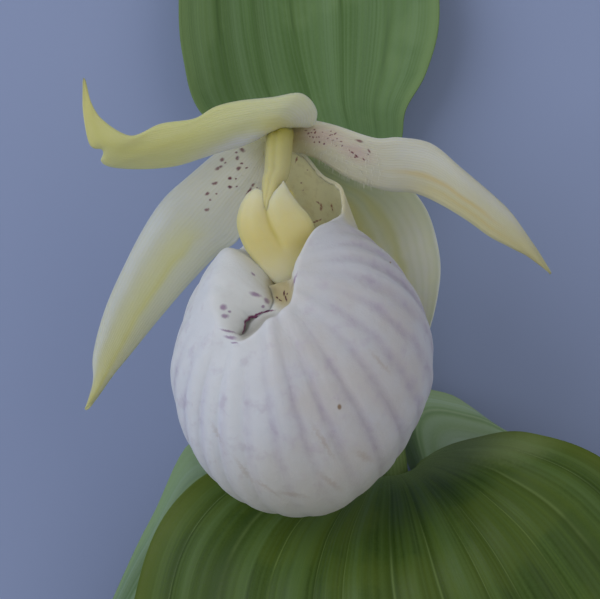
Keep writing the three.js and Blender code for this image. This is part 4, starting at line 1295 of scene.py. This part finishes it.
# Mottling 1.3 mm wide.
mottle = add_node(tree, "ShaderNodeTexNoise", inputs={"Vector": skin.place, "Scale": 0.8, "Detail": 3})
back_wall = add_node(tree, "ShaderNodeMapRange", {"interpolation_type": "SMOOTHSTEP"}, {
    "Value": skin.y, "From Min": -2.5, "From Max": 2.0})
base = paint(tree, colour("#ebeae0"), [
    ("#fff6ca", back_wall),
    ("#c4b27c", (mottle, 0.5, 0.7, 0.0, 0.18), back_wall),
    ("#984a3e", spots(tree, skin.place, INSIDE_MARKS, 0.8, 0.4), 0.8),
])
sinks_in = add_node(tree, "ShaderNodeMapRange", {"interpolation_type": "SMOOTHSTEP"}, {
    "Value": skin.z, "From Min": 46.0, "From Max": 54.0, "To Min": 1.0 * MM, "To Max": 3.0 * MM})
lip_lining = close_skin(skin, {
    "Base Color": base, "Roughness": 0.5, "IOR": 1.4, "Specular IOR Level": 0.3,
    "Subsurface Weight": 0.6, "Subsurface Radius": (1.0, 0.95, 0.85), "Subsurface Scale": sinks_in,
}, mottle, relief=0.1, strength=0.5)

# %% [markdown]
# ### The lip's mesh
#
# The grid's seam runs up beside the neck and its first row is the pole, so both are merged. Stripes
# must keep to the ribs, so U becomes the angle about the mouth. The wall's outer half takes the
# skin and its inner half the lining, with Solidify's material offset.


# %% Lip mesh
def unrolled_angles():
    """The angle about the mouth for each column, without the jump at half a turn."""
    angles = [lip_column(0.0)[2]]
    for i in range(1, LIP_COLUMNS + 1):
        angle = lip_column(i / LIP_COLUMNS)[2]
        while angle > angles[-1] + 180:
            angle -= 360
        while angle < angles[-1] - 180:
            angle += 360
        angles.append(angle)
    return angles


lip = add_grid("lip_pouch", LIP_COLUMNS, LIP_ROWS, lip_surface, lip_skin, lip_lining)
angles = unrolled_angles()
for loop in lip.data.uv_layers.active.data:
    column = round(loop.uv.x * LIP_COLUMNS)
    loop.uv.x = angles[column] / 360
bpy.ops.object.mode_set(mode="EDIT")
bpy.ops.mesh.select_mode(type="VERT")
bpy.ops.mesh.select_all(action="SELECT")
bpy.ops.mesh.remove_doubles(threshold=MERGE_DISTANCE)
bpy.ops.mesh.normals_make_consistent(inside=False)
bpy.ops.object.mode_set(mode="OBJECT")
give_thickness(lip, LIP_THICKNESS, lambda x, y: smoothstep(1 - y, 0.0, 0.05), inner_slot=1)
print("lip columns turn through", round(angles[-1] - angles[0]), "degrees")
finish_piece(lip, ["lip"], "lip")

# %% [markdown]
# ## The column, the staminode and the anthers
#
# In the middle of the flower the stamens and the pistil have grown into one body, the column.
# One sterile stamen, the staminode, hangs from it over the mouth of the lip as a yellow shield
# with a groove down its middle. Behind it, one anther sits at each side, and the stigma looks
# down into the lip.

# %% Column guides
COLUMN = [(-3, 26.8, 39.9), (-3.3, 26.2, 43.4), (-3.45, 22.6, 46.6), (-3.7, 20.4, 48.6), (-4.3, 18.8, 49.9),
          (-4.75, 17, 51), (-5.25, 15.2, 51.5), (-5.4, 13.2, 51.1)]
COLUMN_RADII = [2.1, 2.2, 2.15, 2.05, 1.75, 1.35, 0.85, 0.3]
COLUMN_FOOT = {"centre": (-3.6, 27.3, 43.3), "radii": (2.2, 1.4, 1.8)}
STIGMA = {"centre": (-4.4, 14.2, 47), "radii": (2.4, 3.2, 1.1)}
ANTHERS = {"left": (-7, 15.4, 48), "right": (-1.8, 16, 48.3)}
ANTHER_RADII = (1.0, 1.6, 1.1)
STAMINODE = {
    "left": [(-7, 17.7, 51.3), (-8.5, 16.7, 51.4), (-9.8, 14.3, 51.2), (-10.1, 11.6, 51),
             (-9, 8.4, 50.9), (-7, 5.6, 51), (-5.1, 3.3, 51.3), (-3.2, 2.1, 51.7)],
    "mid": [(-5.2, 16, 51.7), (-5.4, 14.8, 52), (-5.1, 12.8, 52.2), (-4.3, 10.8, 52.3), (-3.2, 8.9, 52.3),
            (-2.4, 6.9, 52.1), (-2.1, 4.6, 52), (-2.2, 1.8, 51.8)],
    "right": [(-2.6, 18.8, 52.3), (-1.5, 16.9, 52.2), (0, 15, 51.9), (1.5, 13.3, 51.6), (2.4, 11.2, 51.3),
              (2.1, 8.6, 51.2), (0.9, 5.4, 51.4), (-1.2, 1.9, 51.7)],
}
print("column:", len(COLUMN), "points, staminode:", len(STAMINODE["mid"]), "rows of three")

# %% [markdown]
# ## Waxy yellow skin
#
# The column and its shield are firm and waxy, like a candle: light goes a little way in and comes
# out warmer, and a weak sheen lies on top. The yellow deepens and pales along the flower, so the
# ground colour runs along Y, moved a little by noise. The shield's groove is deeper in colour.


# %% Waxy yellow skin
def yellow_skin(name, stops, start, end, groove_colour=None):
    """Waxy skin: the eye sees a soft warm yellow that changes from guide y `start` to `end`."""
    skin = new_skin(name)
    tree = skin.tree
    # Patches per millimetre: mottling 2 mm wide, and cells, drawn 0.25 mm wide so that they show.
    mottle, cells = [add_node(tree, "ShaderNodeTexNoise", inputs={
        "Vector": skin.place, "Scale": scale, "Detail": detail}) for scale, detail in ((0.5, 3), (4.0, 2))]
    moved = add_node(tree, "ShaderNodeMath", {"operation": "MULTIPLY_ADD"}, {0: mottle, 1: 2.4, 2: skin.y})
    way = add_node(tree, "ShaderNodeMapRange", inputs={
        "Value": moved, "From Min": start + 1.2, "From Max": end + 1.2})
    base = add_node(tree, "ShaderNodeValToRGB", inputs={"Fac": way}, stops=stops)
    if groove_colour:
        aside = add_node(tree, "ShaderNodeMath", {"operation": "SUBTRACT"}, {0: skin.across, 1: 0.5})
        aside = add_node(tree, "ShaderNodeMath", {"operation": "ABSOLUTE"}, {0: aside})
        base = paint(tree, base, [
            (groove_colour, (aside, 0.07, 0.0, 0.0, 0.6), (skin.along, 0.68, 0.45))])
    return close_skin(skin, {
        "Base Color": base, "Roughness": 0.42, "IOR": 1.42, "Specular IOR Level": 0.35,
        "Subsurface Weight": 0.7, "Subsurface Radius": (1.0, 0.85, 0.4), "Subsurface Scale": 1.2 * MM,
    }, cells, relief=0.04, strength=0.5)


# %% [markdown]
# ## The column
#
# The column is a bent rod that thins to a point, with a narrow ridge and a broad one on its upper
# side. Two flattened balls are joined to it: the foot, where it leaves the flower's middle, and
# the stigma under its end.


# %% Rounded lumps
def add_ball(name, centre, radii, material):
    """A ball drawn out to three radii."""
    bpy.ops.object.select_all(action="DESELECT")
    bpy.ops.mesh.primitive_uv_sphere_add(segments=32, ring_count=20, radius=MM, location=in_frame(centre))
    ball = bpy.context.object
    ball.name = ball.data.name = name
    ball.data.materials.append(material)
    ball.scale = radii
    bpy.ops.object.transform_apply(location=True, rotation=True, scale=True)
    bpy.ops.object.shade_smooth()
    return ball


# %% Column
def two_ridges(angle):
    """The side at -90 degrees faces up: a shallow groove parts a narrow ridge from a broad one."""
    from_top = (angle + math.pi / 2 + math.pi) % (2 * math.pi) - math.pi
    groove = 0.1 * math.exp(-((from_top - 0.3) / 0.22) ** 2)
    ridge = 0.06 * math.exp(-((from_top - 0.75) / 0.25) ** 2)
    return 1 - groove + ridge


column_skin = yellow_skin("column_skin", [(0, "#dfd492"), (0.5, "#cfc990"), (0.85, "#c2bc78"),
                                          (1, "#b5ae58")], 14, 27.5)
column = add_grid("column_body", 64, 60, stalk_surface(COLUMN, COLUMN_RADII, two_ridges), column_skin)
close_sleeve(column)
stigma = add_ball("stigma", STIGMA["centre"], STIGMA["radii"], column_skin)
foot = add_ball("column_foot", COLUMN_FOOT["centre"], COLUMN_FOOT["radii"], column_skin)
for piece in (stigma, foot, column):
    piece.select_set(True)
bpy.context.view_layer.objects.active = column
bpy.ops.object.join()
finish_piece(column, ["column"], "column")

# %% [markdown]
# ## The staminode
#
# The shield is a thick blade with a soft swelling at each side of its groove. Its two shoulders
# are rounder than three guide curves can give, so a second function pushes them out.

# %% Staminode
STAMINODE_THICKNESS = 0.5


def two_lobes(u, v):
    """A low swelling on each side of a soft groove, which fades before the tip. Minus is up here."""
    side = abs(u)
    present = smoothstep(v, 0.0, 0.2) * (1 - smoothstep(v, 0.45, 0.72))
    groove = 0.45 * math.exp(-(side / 0.15) ** 2)
    lobes = 0.35 * math.exp(-((side - 0.45) / 0.3) ** 2)
    return present * (groove - lobes) + 0.3 * side ** 8


flat_shield = blade_surface(STAMINODE, two_lobes)


def shield(u, v):
    """Rounds the two shoulders of the shield, one at each side of the column."""
    shoulder = math.sin(math.pi * abs(u)) * (1 - smoothstep(v, 0.0, 0.3))
    outward = Vector((-0.6, 0.75, 0.1)) if u > 0 else Vector((0.45, 0.5, 0.1))
    return flat_shield(u, v) + shoulder * outward


staminode_skin = yellow_skin("staminode_skin", [
    (0, "#ece6c8"), (0.2, "#e6dba8"), (0.42, "#e3d48e"), (0.62, "#e6d99a"), (0.85, "#ebe3b8"),
    (1, "#ebe5c2")], 2, 19, groove_colour="#cdbf5c")
staminode = add_grid("staminode_shield", 72, 72, shield, staminode_skin)
give_thickness(staminode, STAMINODE_THICKNESS, lambda x, y: smoothstep(min(x, 1 - x, y, 1 - y), 0.0, 0.1))
finish_piece(staminode, ["staminode"], "column")

# %% [markdown]
# ## The anthers
#
# Each anther is a small bag of sticky pollen, so `pollen_skin` is the waxy skin again, in an
# even, slightly greener yellow. They are mostly hidden behind the shield.

# %% Anthers
pollen_skin = yellow_skin("pollen_skin", [(0, "#d6cb7e"), (1, "#d9d088")], 14, 20)
for side, centre in ANTHERS.items():
    anther = add_ball(f"anther_{side}_sac", centre, ANTHER_RADII, pollen_skin)
    finish_piece(anther, [f"anther_{side}"], "column")
